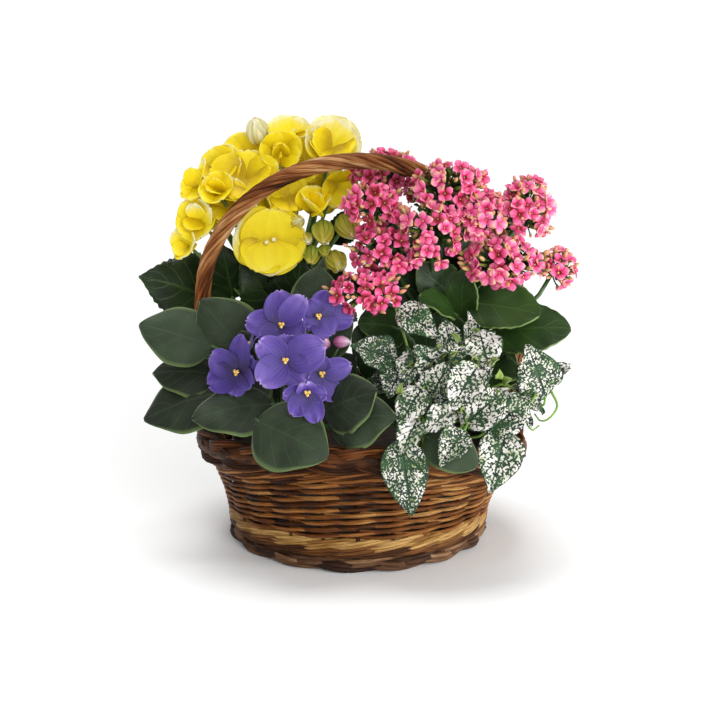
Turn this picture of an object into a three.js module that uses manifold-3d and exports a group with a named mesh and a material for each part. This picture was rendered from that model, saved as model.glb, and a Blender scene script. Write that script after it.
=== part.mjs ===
// A flower basket arrangement: a round willow basket with a bow handle, lined and filled with
// potting soil, in which four plants stand: an African violet, a begonia, a kalanchoe and a
// polka dot plant. Millimetres, +Z up, origin at the middle of the basket's underside.
// The long way of the basket, between the two ends of its handle, is along X, and the violet
// and the polka dot plant stand at its front, towards -Y.

import * as THREE from 'three';
import { mergeVertices } from 'three/addons/utils/BufferGeometryUtils.js';
import Module from 'manifold-3d';

const wasm = await Module();
wasm.setup();

// ---------------------------------------------------------------- driving dimensions

const GAP = 0.3;                 // clear space between neighbouring pieces
const STAKES = 24;               // upright rods of the side wall
const AROUND = 2 * STAKES;       // facets round the basket: on each stake and between stakes

const BASE_RADIUS = 83.5;
const BASE_THICK = 7.5;
const BASE_FLAT_RADIUS = 22;     // the crossed sticks in the middle, which are flat below
const BASE_STICK_RELIEF = 1.4;   // how far the sticks stand out of the underside

const FOOT_RADIUS = 90;          // middle of the braided foot
const FOOT_HALF_WIDTH = 5;
const FOOT_HALF_HEIGHT = 6.5;
const FOOT_MIDDLE_HEIGHT = 5.2;

const WALL_BOTTOM = 11.6;
const WALL_BOTTOM_RADIUS = 95;
const WALL_THICK = 5;
const WALL_ROWS = 9;             // rows of weaving
const WALL_FLARE = 1.9;          // power of the wall's outward curve
const LOW_WALE_ROWS = 2;         // even rows above the base, where some rod is always in front
const HIGH_WALE_ROWS = 1;        // even rows under the border
const WALE_DEPTH = 0.6;          // how far the even rows lie inside the outer radius
const WEAVE_DEPTH = 1.25;        // the same for the middle of the woven rows
const WEAVE_RELIEF = 1.15;       // how far the weaving swings out and in from there
const ROW_EDGE = 0.15;           // half of the step between two rows, as a share of a row

const RIM_RADIUS = 102;          // middle of the plaited border at the front and the back
const RIM_END_RADIUS = 12.7;     // how much further out it is at the two ends
const RIM_HEIGHT = 84.5;
const RIM_END_DIP = 15.5;        // how much lower it is at the two ends
const RIM_LEAN_OUT = 2.7;        // the basket leans: its right end is further out
const RIM_LEAN_DOWN = 3;         // and lower
const RIM_HALF_WIDTH = 7;
const RIM_HALF_HEIGHT = 11;
const PLAIT_RELIEF = 0.06;       // how far the plaited strands stand out, as a share of the plait

const HANDLE_MIDDLE = 1;         // X of the bow's middle
const HANDLE_HALF_SPAN = 112;
const HANDLE_SPRING_HEIGHT = 172;
const HANDLE_RISE = 100;
const HANDLE_RADIUS = 6.1;
const HANDLE_ROOT_RADIUS = 3.8;  // the thinned ends, pushed down inside the wall
const HANDLE_RODS = 5;
const HANDLE_TURNS = 3;
const HANDLE_STEPS = 36;

const LINER_THICK = 1;
const LINER_BOTTOM = 8.2;
const LINER_TOP = 72;
const LINER_BOTTOM_RADIUS = 84.5;
const LINER_TOP_RADIUS = 91.8;
const SOIL_EDGE_HEIGHT = 65;
const SOIL_MIDDLE_HEIGHT = 71;
const SOIL_LUMP = 1.3;
const INSIDE_FACETS = 24;        // facets round the liner and the soil

const SMALLEST_DETAIL = 0.05;    // slivers finer than this are cleaned away
const LEAF_THICK = 1.6;
const STALK_LIFT = 0.05;         // how far a stalk arches up, as a share of its length
const ROOT_SINK = 1.6;           // how deep a stalk's pointed start sinks, as a share of its radius
const PETAL_THICK = 1.3;

// ---------------------------------------------------------------- finishes

const finish = (color, roughness) => new THREE.MeshStandardMaterial({ color, roughness, metalness: 0 });

const WILLOW = finish('#8a5527', 0.6);
const WILLOW_DARK = finish('#6e3f1f', 0.6);
const HANDLE_WILLOW = finish('#8b4a2b', 0.5);
const LINER_FILM = finish('#2d2d2a', 0.5);
const SOIL = finish('#33241a', 1);
const VIOLET_LEAF = finish('#36513a', 0.7);
const VIOLET_PETAL = finish('#5f45b0', 0.6);
const ANTHER = finish('#e9c64d', 0.6);
const BEGONIA_LEAF = finish('#1f3a17', 0.5);
const BEGONIA_PETAL = finish('#f3de12', 0.5);
const KALANCHOE_LEAF = finish('#2f5a22', 0.5);
const KALANCHOE_PETAL = finish('#e8559c', 0.6);
const POLKA_LEAF = finish('#cfd6cc', 0.6);

// ---------------------------------------------------------------- small helpers

const vec = (x, y, z) => new THREE.Vector3(x, y, z);
const along = (from, to, share) => new THREE.Vector3().lerpVectors(from, to, share);
const { lerp, degToRad } = THREE.MathUtils;

// A repeatable random number source, so that the model is the same each time.
function randomSource(seed) {
  let state = seed;
  return () => {
    state = (state * 1664525 + 1013904223) % 4294967296;
    return state / 4294967296;
  };
}

// Moves every vertex of a geometry to where place(vertex, index) puts it.
function warp(geometry, place) {
  const positions = geometry.attributes.position;
  const vertex = new THREE.Vector3();
  for (let i = 0; i < positions.count; i++) {
    vertex.fromBufferAttribute(positions, i);
    const moved = place(vertex, i);
    positions.setXYZ(i, moved.x, moved.y, moved.z);
  }
  return geometry;
}

// Merges the shared vertices of a closed geometry and turns its faces outwards.
function closedMesh(geometry) {
  geometry.deleteAttribute('normal');
  geometry.deleteAttribute('uv');
  const merged = mergeVertices(geometry, 1e-4);
  const faces = merged.index.array;
  const [a, b, c] = [vec(), vec(), vec()];
  let volume = 0;
  for (let i = 0; i < faces.length; i += 3) {
    a.fromBufferAttribute(merged.attributes.position, faces[i]);
    b.fromBufferAttribute(merged.attributes.position, faces[i + 1]);
    c.fromBufferAttribute(merged.attributes.position, faces[i + 2]);
    volume += a.dot(b.cross(c));
  }
  if (volume < 0) {
    for (let i = 0; i < faces.length; i += 3) {
      [faces[i], faces[i + 1]] = [faces[i + 1], faces[i]];
    }
  }
  return merged;
}

// Pushes every vertex out along the surface normal.
function grown(mesh, distance) {
  const fat = mesh.clone();
  fat.computeVertexNormals();
  const normal = new THREE.Vector3();
  return warp(fat, (vertex, i) => {
    normal.fromBufferAttribute(fat.attributes.normal, i);
    return vertex.addScaledVector(normal, distance);
  });
}

function toSolid(mesh) {
  return new wasm.Manifold(new wasm.Mesh({
    numProp: 3,
    vertProperties: Float32Array.from(mesh.attributes.position.array),
    triVerts: Uint32Array.from(mesh.index.array),
  }));
}

function toGeometry(solid) {
  const { vertProperties, triVerts } = solid.getMesh();
  const geometry = new THREE.BufferGeometry();
  geometry.setAttribute('position', new THREE.BufferAttribute(vertProperties, 3));
  geometry.setIndex(new THREE.BufferAttribute(triVerts, 1));
  geometry.computeVertexNormals();
  return geometry;
}

// The largest body of a solid: loose scraps are dropped and sealed hollows are filled.
function largestBody(solid) {
  const bodies = solid.decompose();
  bodies.sort((one, other) => other.volume() - one.volume());
  return bodies[0];
}

// ---------------------------------------------------------------- rods, leaves and flowers

// A rod bent along a curve. radius(share of the length, angle) may taper or flute it, and its
// flutes wind round it as many times as turns says.
function rod(curve, radius, sides, steps, turns = 0) {
  const frames = curve.computeFrenetFrames(steps);
  return warp(new THREE.CylinderGeometry(1, 1, 1, sides, steps), (vertex) => {
    const share = 0.5 - vertex.y;
    const ring = Math.round(share * steps);
    const angle = Math.atan2(vertex.z, vertex.x);
    const reach = Math.hypot(vertex.x, vertex.z) * radius(share, angle);
    const wound = angle + share * turns * 2 * Math.PI;
    return curve.getPointAt(share)
      .addScaledVector(frames.normals[ring], Math.cos(wound) * reach)
      .addScaledVector(frames.binormals[ring], Math.sin(wound) * reach);
  });
}

// Turns the diagonals of the quads that isBack(row, column) picks out of a sphere geometry, so
// that a thin sheet made of it is split alike on both its sides.
function splitAlike(sphere, sides, rings, isBack) {
  const faces = sphere.index.array;
  for (let row = 1; row < rings - 1; row++) {
    for (let column = 0; column < sides; column++) {
      if (!isBack(row, column)) continue;
      const at = 3 * sides + (row - 1) * 6 * sides + column * 6;
      const [a, b, d, , c] = faces.slice(at, at + 6);
      faces.set([a, b, c, a, c, d], at);
    }
  }
  return sphere;
}

// A four-sided solid drawn through sections, which have a centre, two axes and two half sizes.
// lift raises the edges. The first and last section are its points.
function drawn(sections) {
  const rings = sections.length - 1;
  const ball = splitAlike(new THREE.SphereGeometry(1, 4, rings), 4, rings, (row, column) => column > 1);
  return warp(ball, (vertex, index) => {
    const { centre, side, normal, half, bulge, lift } = sections[Math.floor(index / 5)];
    const across = [-1, 0, 1, 0, -1][index % 5];
    const through = [0, 1, 0, -1, 0][index % 5];
    return centre.clone()
      .addScaledVector(side, across * half)
      .addScaledVector(normal, through * bulge + Math.abs(across) * lift);
  });
}

// Sections of a stalk along a curve, from its start up to, but without, its end. The axes given
// are those at its end, and they turn with the curve as little as they can. Its pointed start
// sinks in what it grows from, so that it is thick where it comes out.
function stalkSections(curve, rows, radius, side, normal) {
  const sections = [];
  const turn = new THREE.Quaternion();
  let [nowSide, nowNormal, nowForward] = [side.clone(), normal.clone(), curve.getTangent(1)];
  for (let row = rows - 1; row >= 0; row--) {
    const share = (row / rows) ** 1.7;
    const forward = curve.getTangent(share);
    turn.setFromUnitVectors(nowForward, forward);
    nowSide = nowSide.clone().applyQuaternion(turn);
    nowNormal = nowNormal.clone().applyQuaternion(turn);
    nowForward = forward;
    const size = row === 0 ? 0 : radius;
    const centre = curve.getPoint(share);
    if (row === 0) centre.addScaledVector(forward, -ROOT_SINK * radius);
    sections.unshift({ centre, side: nowSide, normal: nowNormal, half: size, bulge: size, lift: 0 });
  }
  return sections;
}

// A stalk from root to end, by way of a point or slightly arched. Its thin tip goes past the end
// into what stands on it.
function stalk(root, end, radius, { via, past = 0 } = {}) {
  const middle = via ?? along(root, end, 0.4).add(vec(0, 0, root.distanceTo(end) * STALK_LIFT));
  const curve = new THREE.QuadraticBezierCurve3(root, middle, end);
  const forward = curve.getTangent(1);
  const side = new THREE.Vector3().crossVectors(forward, vec(0.3, 1, 0.1)).normalize();
  const normal = new THREE.Vector3().crossVectors(side, forward);
  const sections = stalkSections(curve, 2, radius, side, normal);
  const tip = end.clone().addScaledVector(forward, past);
  sections.push({ centre: tip, side, normal, half: 0, bulge: 0, lift: 0 });
  return drawn(sections);
}

// Outlines of leaves: half the width, as a share of the greatest, along the midrib.
const OUTLINES = {
  round: (t) => Math.sin(Math.PI * t ** 0.8) ** 0.55,
  pointed: (t) => Math.sin(Math.PI * t ** 0.7) ** 1.05,
  heart: (t) => Math.sin(Math.PI * t ** 0.55) ** 0.9,
};

// A leaf: a stalk that grows from root, and a blade from base to tip, whose upper side looks
// towards face. arch lifts the middle of the blade, cup its edges, and teeth cut its edges.
function leaf({
  root, base, tip, width, face, outline = 'round', rows = 6, stalkRows = 2, stalkRadius = 1.7,
  thick = LEAF_THICK, arch = 0, cup = 0, teeth = 0,
}) {
  const length = base.distanceTo(tip);
  const forward = tip.clone().sub(base).normalize();
  const normal = face.clone().addScaledVector(forward, -face.dot(forward)).normalize();
  const side = new THREE.Vector3().crossVectors(forward, normal);
  const stalkLength = root.distanceTo(base);
  const curve = new THREE.CubicBezierCurve3(
    root,
    vec(root.x, root.y, root.z + stalkLength * 0.3),
    base.clone().addScaledVector(forward, -stalkLength * 0.3),
    base,
  );
  const sections = stalkSections(curve, stalkRows, stalkRadius, side, normal);
  for (let row = 0; row <= rows; row++) {
    const share = row / rows;
    const edge = row > 0 && row < rows ? 1 + teeth * (row % 2 ? -0.5 : 0.5) : 1;
    const shape = OUTLINES[outline](share) * edge;
    const point = row === rows;
    sections.push({
      centre: base.clone().addScaledVector(forward, share * length)
        .addScaledVector(normal, arch * 4 * share * (1 - share)),
      side,
      normal,
      half: point ? 0 : Math.max(stalkRadius, shape * width / 2),
      bulge: point ? 0 : lerp(stalkRadius, thick / 2, Math.min(1, share * 4)),
      lift: point ? 0 : cup * shape,
    });
  }
  return drawn(sections);
}

// Axes of a flower that looks towards facing: right and up lie in the plane of the flower.
function flowerAxes(facing) {
  const forward = facing.clone().normalize();
  const right = new THREE.Vector3().crossVectors(vec(0, 0, 1), forward).normalize();
  const up = new THREE.Vector3().crossVectors(forward, right);
  return { forward, right, up };
}

// Corolla: a thin bowl whose rim is cut into rounded lobes, each a share of reach long. open is
// the angle of its wall from the flower's axis, where 90 is flat, and curl bends its rim back.
function corolla(centre, facing, { reach, open, lobes, sides, notch = 0.5, roll = 0, curl = 0 }) {
  const { forward, right, up } = flowerAxes(facing);
  const [sine, cosine] = [Math.sin(degToRad(open)), Math.cos(degToRad(open))];
  const disc = splitAlike(new THREE.SphereGeometry(1, sides, 4), sides, 4, (row) => row === 2);
  return warp(disc, (vertex, index) => {
    const row = Math.floor(index / (sides + 1));
    const around = (index % (sides + 1)) % sides / sides;
    const lobe = lobes[Math.floor(around * lobes.length)];
    const phase = around * lobes.length % 1;
    const rim = lerp(notch * lobe, lobe, Math.sin(Math.PI * phase) ** 0.4) * reach;
    const share = [0, 0.55, 1, 0.55, 0][row];
    const through = [0.6, 0.5, 0, -0.5, -2][row] * PETAL_THICK;
    const angle = around * 2 * Math.PI + degToRad(roll);
    const outward = right.clone().multiplyScalar(Math.cos(angle)).addScaledVector(up, Math.sin(angle));
    const [wallSine, wallCosine] = share ? [sine, cosine] : [1, 0];
    return centre.clone()
      .addScaledVector(outward, share * rim * sine - through * wallCosine)
      .addScaledVector(forward, share * rim * cosine + through * wallSine - curl * share ** 2);
  });
}

// A ball squashed to three half sizes.
function lump(centre, radii, sides = 6, rings = 4) {
  return new THREE.SphereGeometry(1, sides, rings)
    .rotateX(Math.PI / 2)
    .scale(radii.x, radii.y, radii.z)
    .translate(centre.x, centre.y, centre.z);
}

// ---------------------------------------------------------------- the list of pieces

// Each piece is a list of closed geometries that are fused. Pieces earlier in the list keep
// their shape, and later ones are cut back round them where they would touch.
const pieces = [];

function piece(name, material, geometries) {
  const meshes = geometries.map(closedMesh);
  const solid = wasm.Manifold.union(meshes.map(toSolid));
  const room = wasm.Manifold.union([solid, ...meshes.map((mesh) => toSolid(grown(mesh, GAP)))]);
  pieces.push({ name, material, solid, room });
}

// ---------------------------------------------------------------- the basket

// How much of an end a place round the basket is: 1 at the ends of X, 0 at front and back.
const endness = (angle) => Math.cos(angle) ** 2;
const rimRadius = (angle) => RIM_RADIUS + RIM_END_RADIUS * endness(angle) + RIM_LEAN_OUT * Math.cos(angle);
const rimHeight = (angle) => RIM_HEIGHT - RIM_END_DIP * endness(angle) - RIM_LEAN_DOWN * Math.cos(angle);

// The wall ends just under the plait, whose six-sided section reaches 0.92 of its half height.
const wallTop = (angle) => rimHeight(angle) - RIM_HALF_HEIGHT * 0.92 - GAP;
const wallTopRadius = (angle) => rimRadius(angle) - 3;

// Outer radius of the wall at a share of the way up it.
function wallRadius(angle, climb) {
  return lerp(WALL_BOTTOM_RADIUS, wallTopRadius(angle), climb ** WALL_FLARE);
}

// Turns a lathe's upright axis to Z and gives its vertex as an angle, a radius and a height.
function turned(profile, segments, place) {
  return warp(new THREE.LatheGeometry(profile, segments), (vertex) => {
    const angle = Math.atan2(vertex.x, vertex.z);
    const { radius, height } = place(angle, Math.hypot(vertex.x, vertex.z), vertex.y);
    return vec(radius * Math.cos(angle), radius * Math.sin(angle), height);
  });
}

const stakeOf = (angle) => Math.round(angle / (2 * Math.PI) * AROUND + AROUND);

// Handle: a straight-sided bow of willow rods twisted together, whose ends go down inside the
// border and the wall.
function handle() {
  const points = [
    vec(-94.3, 0, 52), vec(-97.3, 0, 62), vec(-102.8, 0, 74), vec(-107.6, 0, 88),
    vec(-110.3, 0, 108), vec(HANDLE_MIDDLE - HANDLE_HALF_SPAN, 0, 140),
  ];
  for (let degrees = 180; degrees >= 0; degrees -= 15) {
    const angle = degToRad(degrees);
    const across = HANDLE_MIDDLE + HANDLE_HALF_SPAN * Math.cos(angle);
    points.push(vec(across, 0, HANDLE_SPRING_HEIGHT + HANDLE_RISE * Math.sin(angle)));
  }
  points.push(
    vec(HANDLE_MIDDLE + HANDLE_HALF_SPAN, 0, 140), vec(112.3, 0, 106),
    vec(110.6, 0, 86), vec(106.6, 0, 72), vec(100.8, 0, 60), vec(95.4, 0, 50),
  );
  const curve = new THREE.CatmullRomCurve3(points);
  const radius = (share, angle) => {
    const root = Math.min(share, 1 - share) * HANDLE_STEPS / 4;
    const body = lerp(HANDLE_ROOT_RADIUS, HANDLE_RADIUS, Math.min(root, 1));
    return body * (1 + 0.09 * Math.cos(HANDLE_RODS * angle));
  };
  return rod(curve, radius, 2 * HANDLE_RODS, HANDLE_STEPS, HANDLE_TURNS);
}

// Woven base: a disc with the ridges of its sticks below, flat in the middle.
function base() {
  const rings = [0, BASE_FLAT_RADIUS, 54, BASE_RADIUS];
  const profile = rings.map((radius) => new THREE.Vector2(radius, 0));
  profile.push(new THREE.Vector2(BASE_RADIUS, BASE_THICK), new THREE.Vector2(0, BASE_THICK));
  return turned(profile, AROUND, (angle, radius, height) => {
    const betweenSticks = stakeOf(angle) % 2 === 1 && radius > BASE_FLAT_RADIUS + 1;
    return { radius, height: height + (betweenSticks && height === 0 ? BASE_STICK_RELIEF : 0) };
  });
}

// A ring of plaited rods: a torus with slanting ridges, bent to the radius and height given.
function plait({ halfWidth, halfHeight, sides, facets, radiusAt, heightAt }) {
  const ring = new THREE.TorusGeometry(100, 1, sides, facets);
  return warp(ring, (vertex) => {
    const angle = Math.atan2(vertex.y, vertex.x);
    const out = Math.hypot(vertex.x, vertex.y) - 100;
    const around = Math.atan2(vertex.z, out);
    const ridge = 1 + PLAIT_RELIEF * Math.cos(STAKES * angle + 2 * around);
    const radius = radiusAt(angle) + halfWidth * ridge * Math.cos(around);
    const height = Math.max(0, heightAt(angle) + halfHeight * ridge * Math.sin(around));
    return vec(radius * Math.cos(angle), radius * Math.sin(angle), height);
  });
}

const foot = () => plait({
  halfWidth: FOOT_HALF_WIDTH,
  halfHeight: FOOT_HALF_HEIGHT,
  sides: 6,
  facets: AROUND,
  radiusAt: () => FOOT_RADIUS,
  heightAt: () => FOOT_MIDDLE_HEIGHT,
});

const border = () => plait({
  halfWidth: RIM_HALF_WIDTH,
  halfHeight: RIM_HALF_HEIGHT,
  sides: 6,
  facets: AROUND,
  radiusAt: rimRadius,
  heightAt: rimHeight,
});

// Side wall: in its middle rows, the weaving passes in front of one stake and behind the next.
function wall() {
  const OUTSIDE = 2;
  const INSIDE = 1;
  const lastRow = WALL_ROWS - HIGH_WALE_ROWS;
  const edges = [0, LOW_WALE_ROWS - ROW_EDGE];
  for (let row = LOW_WALE_ROWS; row < lastRow; row++) {
    edges.push(row + ROW_EDGE, row + 1 - ROW_EDGE);
  }
  edges.push(lastRow + ROW_EDGE);
  const profile = edges.map((edge) => new THREE.Vector2(OUTSIDE, edge / WALL_ROWS));
  for (const [side, climb] of [[OUTSIDE, 1], [INSIDE, 1], [INSIDE, 0.55], [INSIDE, 0], [OUTSIDE, 0]]) {
    profile.push(new THREE.Vector2(side, climb));
  }
  return turned(profile, AROUND, (angle, side, climb) => {
    const outside = side > (INSIDE + OUTSIDE) / 2;
    const stake = stakeOf(angle);
    const row = Math.floor(climb * WALL_ROWS);
    const woven = row >= LOW_WALE_ROWS && row < lastRow;
    const swing = stake % 2 === 0 ? ((stake / 2 + row) % 2 ? -WEAVE_RELIEF : WEAVE_RELIEF) : 0;
    const outerDepth = woven ? WEAVE_DEPTH + swing : WALE_DEPTH;
    const radius = wallRadius(angle, climb) - (outside ? outerDepth : WALL_THICK);
    return { radius, height: lerp(WALL_BOTTOM, wallTop(angle), climb) };
  });
}

const linerRadius = (height) => lerp(
  LINER_BOTTOM_RADIUS, LINER_TOP_RADIUS, (height - 12) / (LINER_TOP - 12),
);

// Liner: a thin sheet shell, open at the top.
function liner() {
  const inner = LINER_BOTTOM + LINER_THICK;
  const profile = [
    [0, LINER_BOTTOM], [80, LINER_BOTTOM], [linerRadius(12), 12], [LINER_TOP_RADIUS, LINER_TOP],
    [LINER_TOP_RADIUS - LINER_THICK, LINER_TOP], [linerRadius(12) - LINER_THICK, 12.6],
    [79.5, inner], [0, inner],
  ].map(([radius, height]) => new THREE.Vector2(radius, height));
  return turned(profile, INSIDE_FACETS, (angle, radius, height) => ({ radius, height }));
}

// Potting soil: fills the liner, with a crumbly, slightly domed top.
function soil() {
  const bottom = LINER_BOTTOM + LINER_THICK + GAP;
  const clear = LINER_THICK + 2 * GAP;
  const profile = [
    [0, bottom], [78.5, bottom], [linerRadius(12) - clear, 13],
    [linerRadius(SOIL_EDGE_HEIGHT) - clear, SOIL_EDGE_HEIGHT],
    [55, SOIL_EDGE_HEIGHT + 4], [0, SOIL_MIDDLE_HEIGHT],
  ].map(([radius, height]) => new THREE.Vector2(radius, height));
  return turned(profile, INSIDE_FACETS, (angle, radius, height) => {
    const onTop = height > SOIL_EDGE_HEIGHT + 1 && radius > 1;
    const lumps = Math.sin(7 * angle + radius) + Math.sin(11 * angle - 0.4 * radius);
    return { radius, height: height + (onTop ? SOIL_LUMP * lumps / 2 : 0) };
  });
}

piece('basket_handle', HANDLE_WILLOW, [handle()]);
piece('basket_base', WILLOW_DARK, [base()]);
piece('basket_foot', WILLOW_DARK, [foot()]);
piece('basket_border', WILLOW, [border()]);
piece('basket_wall', WILLOW, [wall()]);
piece('liner', LINER_FILM, [liner()]);

// ---------------------------------------------------------------- African violet

const VIOLET_CROWN = vec(-50, -50, 74);
const VIOLET_FACE = vec(-0.1, -0.75, 0.65);

// The blooms: centre, where each looks, and how far its petals reach.
const VIOLET_BLOOMS = [
  { centre: vec(-52, -62, 168), facing: vec(-0.05, -0.9, 0.4), reach: 20 },
  { centre: vec(-28, -52, 173), facing: vec(0.35, -0.85, 0.3), reach: 18 },
  { centre: vec(-48.5, -87, 150), facing: vec(0, -0.95, 0.3), reach: 21 },
  { centre: vec(-81, -75, 139), facing: vec(-0.5, -0.85, 0.15), reach: 20 },
  { centre: vec(-25, -76, 139), facing: vec(0.25, -0.95, 0.2), reach: 18 },
  { centre: vec(-34, -96, 131), facing: vec(0.1, -1, 0.05), reach: 17 },
  { centre: vec(-71, -58, 154), facing: vec(-0.35, -0.85, 0.35), reach: 16 },
];

// Lengths of the lobes, going round from the right: two above are small.
const VIOLET_LOBES = [0.85, 0.85, 1, 1, 1];

const VIOLET_LEAVES = [
  { base: vec(-76, -34, 141), tip: vec(-110, -26, 178), width: 45, face: vec(-0.3, -0.8, 0.5) },
  { base: vec(-101, -36, 144), tip: vec(-153, -28, 158), width: 42, face: vec(-0.2, -0.75, 0.6) },
  { base: vec(-98, -38, 124), tip: vec(-145, -34, 124), width: 34, face: vec(-0.2, -0.6, 0.75) },
  { base: vec(-96, -50, 112), tip: vec(-148, -48, 99), width: 40, face: vec(-0.3, -0.5, 0.8) },
  { base: vec(-61, -75, 116), tip: vec(-111, -90, 112), width: 38, face: vec(-0.2, -0.7, 0.7) },
  { base: vec(-38, -92, 116), tip: vec(-53, -119, 79), width: 50, face: vec(-0.2, -0.85, 0.5) },
  { base: vec(-23, -80, 112), tip: vec(13, -96, 130), width: 42, face: vec(0.1, -0.8, 0.6) },
  { base: vec(-15, -84, 106), tip: vec(25, -101, 109), width: 36, face: vec(0.2, -0.7, 0.7) },
  { base: vec(-30, -38, 168), tip: vec(-28, -22, 201), width: 34, face: vec(0, -0.95, 0.3) },
  { base: vec(-32, -45, 147), tip: vec(-4, -42, 166), width: 30, face: vec(0.2, -0.8, 0.5) },
  { base: vec(-70, -52, 132), tip: vec(-86, -66, 104), width: 38, face: vec(-0.3, -0.7, 0.6) },
  { base: vec(-84, -30, 118), tip: vec(-126, -27, 100), width: 32, face: vec(-0.4, -0.2, 0.9) },
];

const VIOLET_BUDS = [vec(-22, -60, 155), vec(-11, -62, 156)];

// Two anthers, side by side in the throat.
function violetEye({ centre, facing }) {
  const { forward, right, up } = flowerAxes(facing);
  return warp(new THREE.SphereGeometry(1, 6, 3), (vertex) => centre.clone()
    .addScaledVector(forward, 2.8 + vertex.y * 1.5)
    .addScaledVector(right, vertex.x * 2.6)
    .addScaledVector(up, vertex.z * 1.5));
}

function violetBloom({ centre, facing, reach }) {
  return corolla(centre, facing, {
    reach, open: 80, lobes: VIOLET_LOBES, sides: 15, notch: 0.45, roll: 18, curl: 1,
  });
}

function violetFoliage() {
  const geometries = [rod(
    new THREE.LineCurve3(vec(-50, -50, 54), vec(-50, -50, 86)), () => 9, 6, 1,
  )];
  for (const shape of VIOLET_LEAVES) {
    geometries.push(leaf({ root: VIOLET_CROWN, arch: 3, cup: -3, ...shape }));
  }
  for (const { centre } of VIOLET_BLOOMS) {
    geometries.push(stalk(VIOLET_CROWN, centre, 1.3, { past: 7 }));
  }
  for (const bud of VIOLET_BUDS) {
    geometries.push(stalk(VIOLET_CROWN, bud, 1.2));
    geometries.push(lump(bud, vec(5, 3.8, 3.8)));
  }
  return geometries;
}

// One leaf on a stalk of its own, at the foot of the polka dot plant.
const VIOLET_SIDE_LEAF = {
  root: vec(36, -70, 54), base: vec(46, -97, 100), tip: vec(79, -112, 83), width: 32,
  face: vec(0, -0.75, 0.65), arch: 2, cup: -2,
};

VIOLET_BLOOMS.forEach((bloom, i) => piece(`violet_eye_${i + 1}`, ANTHER, [violetEye(bloom)]));
VIOLET_BLOOMS.forEach((bloom, i) => piece(`violet_bloom_${i + 1}`, VIOLET_PETAL, [violetBloom(bloom)]));

// ---------------------------------------------------------------- begonia

const BEGONIA_TRUNK = new THREE.LineCurve3(vec(-50, 45, 50), vec(-56, 38, 168));

// Forms of a bloom: bowls of petals, one inside the other, whose reach is a share of the bloom's.
const BEGONIA_FORMS = {
  flat: [
    { reach: 1, open: 84, lobes: [1, 1, 1, 1], sides: 20, notch: 0.8, roll: 45 },
    { reach: 0.5, open: 60, lobes: [1, 0.9, 1], sides: 9, notch: 0.6, roll: 20 },
  ],
  cup: [
    { reach: 1, open: 66, lobes: [1, 0.95, 1, 0.9], sides: 12, notch: 0.65, roll: 30 },
    { reach: 0.62, open: 38, lobes: [1, 0.8], sides: 6, notch: 0.5, roll: 70 },
  ],
  wide: [
    { reach: 1, open: 70, lobes: [1, 0.7, 1, 0.65], sides: 12, notch: 0.55, roll: -45 },
    { reach: 0.55, open: 35, lobes: [1, 0.8], sides: 6, notch: 0.5, roll: 10 },
  ],
  half: [
    { reach: 1, open: 40, lobes: [1, 0.9, 1], sides: 9, notch: 0.6, roll: 90 },
  ],
};

const BEGONIA_BLOOMS = [
  { centre: vec(-63, 15, 212), facing: vec(0.05, -0.95, 0.2), reach: 25, form: 'flat' },
  { centre: vec(-50, 40, 274), facing: vec(0, -0.8, 0.5), reach: 17, form: 'cup' },
  { centre: vec(-18, 36, 280), facing: vec(0.2, -0.6, 0.7), reach: 22, form: 'cup' },
  { centre: vec(-80, 52, 268), facing: vec(-0.3, -0.5, 0.8), reach: 17, form: 'half' },
  { centre: vec(-83, 32, 256), facing: vec(-0.1, -0.75, 0.6), reach: 26, form: 'wide' },
  { centre: vec(-115, 32, 246), facing: vec(-0.6, -0.5, 0.6), reach: 15, form: 'half' },
  { centre: vec(-115, 25, 226), facing: vec(-0.5, -0.8, 0.2), reach: 15, form: 'cup' },
  { centre: vec(-123, 22, 206), facing: vec(-0.6, -0.5, 0.5), reach: 12, form: 'half' },
  {
    centre: vec(-93, 22, 234), facing: vec(-0.2, -0.8, 0.5), reach: 15, form: 'cup',
    twin: { centre: vec(-99, 21, 239), facing: vec(-0.4, -0.7, 0.6), reach: 12, form: 'half' },
  },
  { centre: vec(-51, 36, 240), facing: vec(0.1, -0.8, 0.5), reach: 14, form: 'cup' },
  { centre: vec(-31, 22, 232), facing: vec(0.2, -0.4, 0.8), reach: 14, form: 'half' },
  { centre: vec(-16, 34, 252), facing: vec(0.4, -0.8, -0.3), reach: 15, form: 'cup' },
  { centre: vec(-54, 62, 280), facing: vec(0, 0.2, 1), reach: 17, form: 'half' },
  { centre: vec(-68, 84, 252), facing: vec(-0.15, 0.8, 0.55), reach: 22, form: 'cup' },
  { centre: vec(-104, 62, 222), facing: vec(-0.6, 0.7, 0.3), reach: 19, form: 'cup' },
  { centre: vec(-28, 78, 240), facing: vec(0.2, 0.85, 0.4), reach: 19, form: 'cup' },
];

const BEGONIA_BUDS = [
  { centre: vec(-24, 13, 219), radii: vec(8, 7, 8.5) },
  { centre: vec(-8, 20, 220), radii: vec(8, 7, 8) },
  { centre: vec(-33, 12, 203), radii: vec(5.5, 5, 6.5) },
  { centre: vec(-16, 7, 199), radii: vec(7.5, 6.5, 6.5) },
  { centre: vec(-74, 56, 285), radii: vec(6.5, 6, 9) },
];

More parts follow.
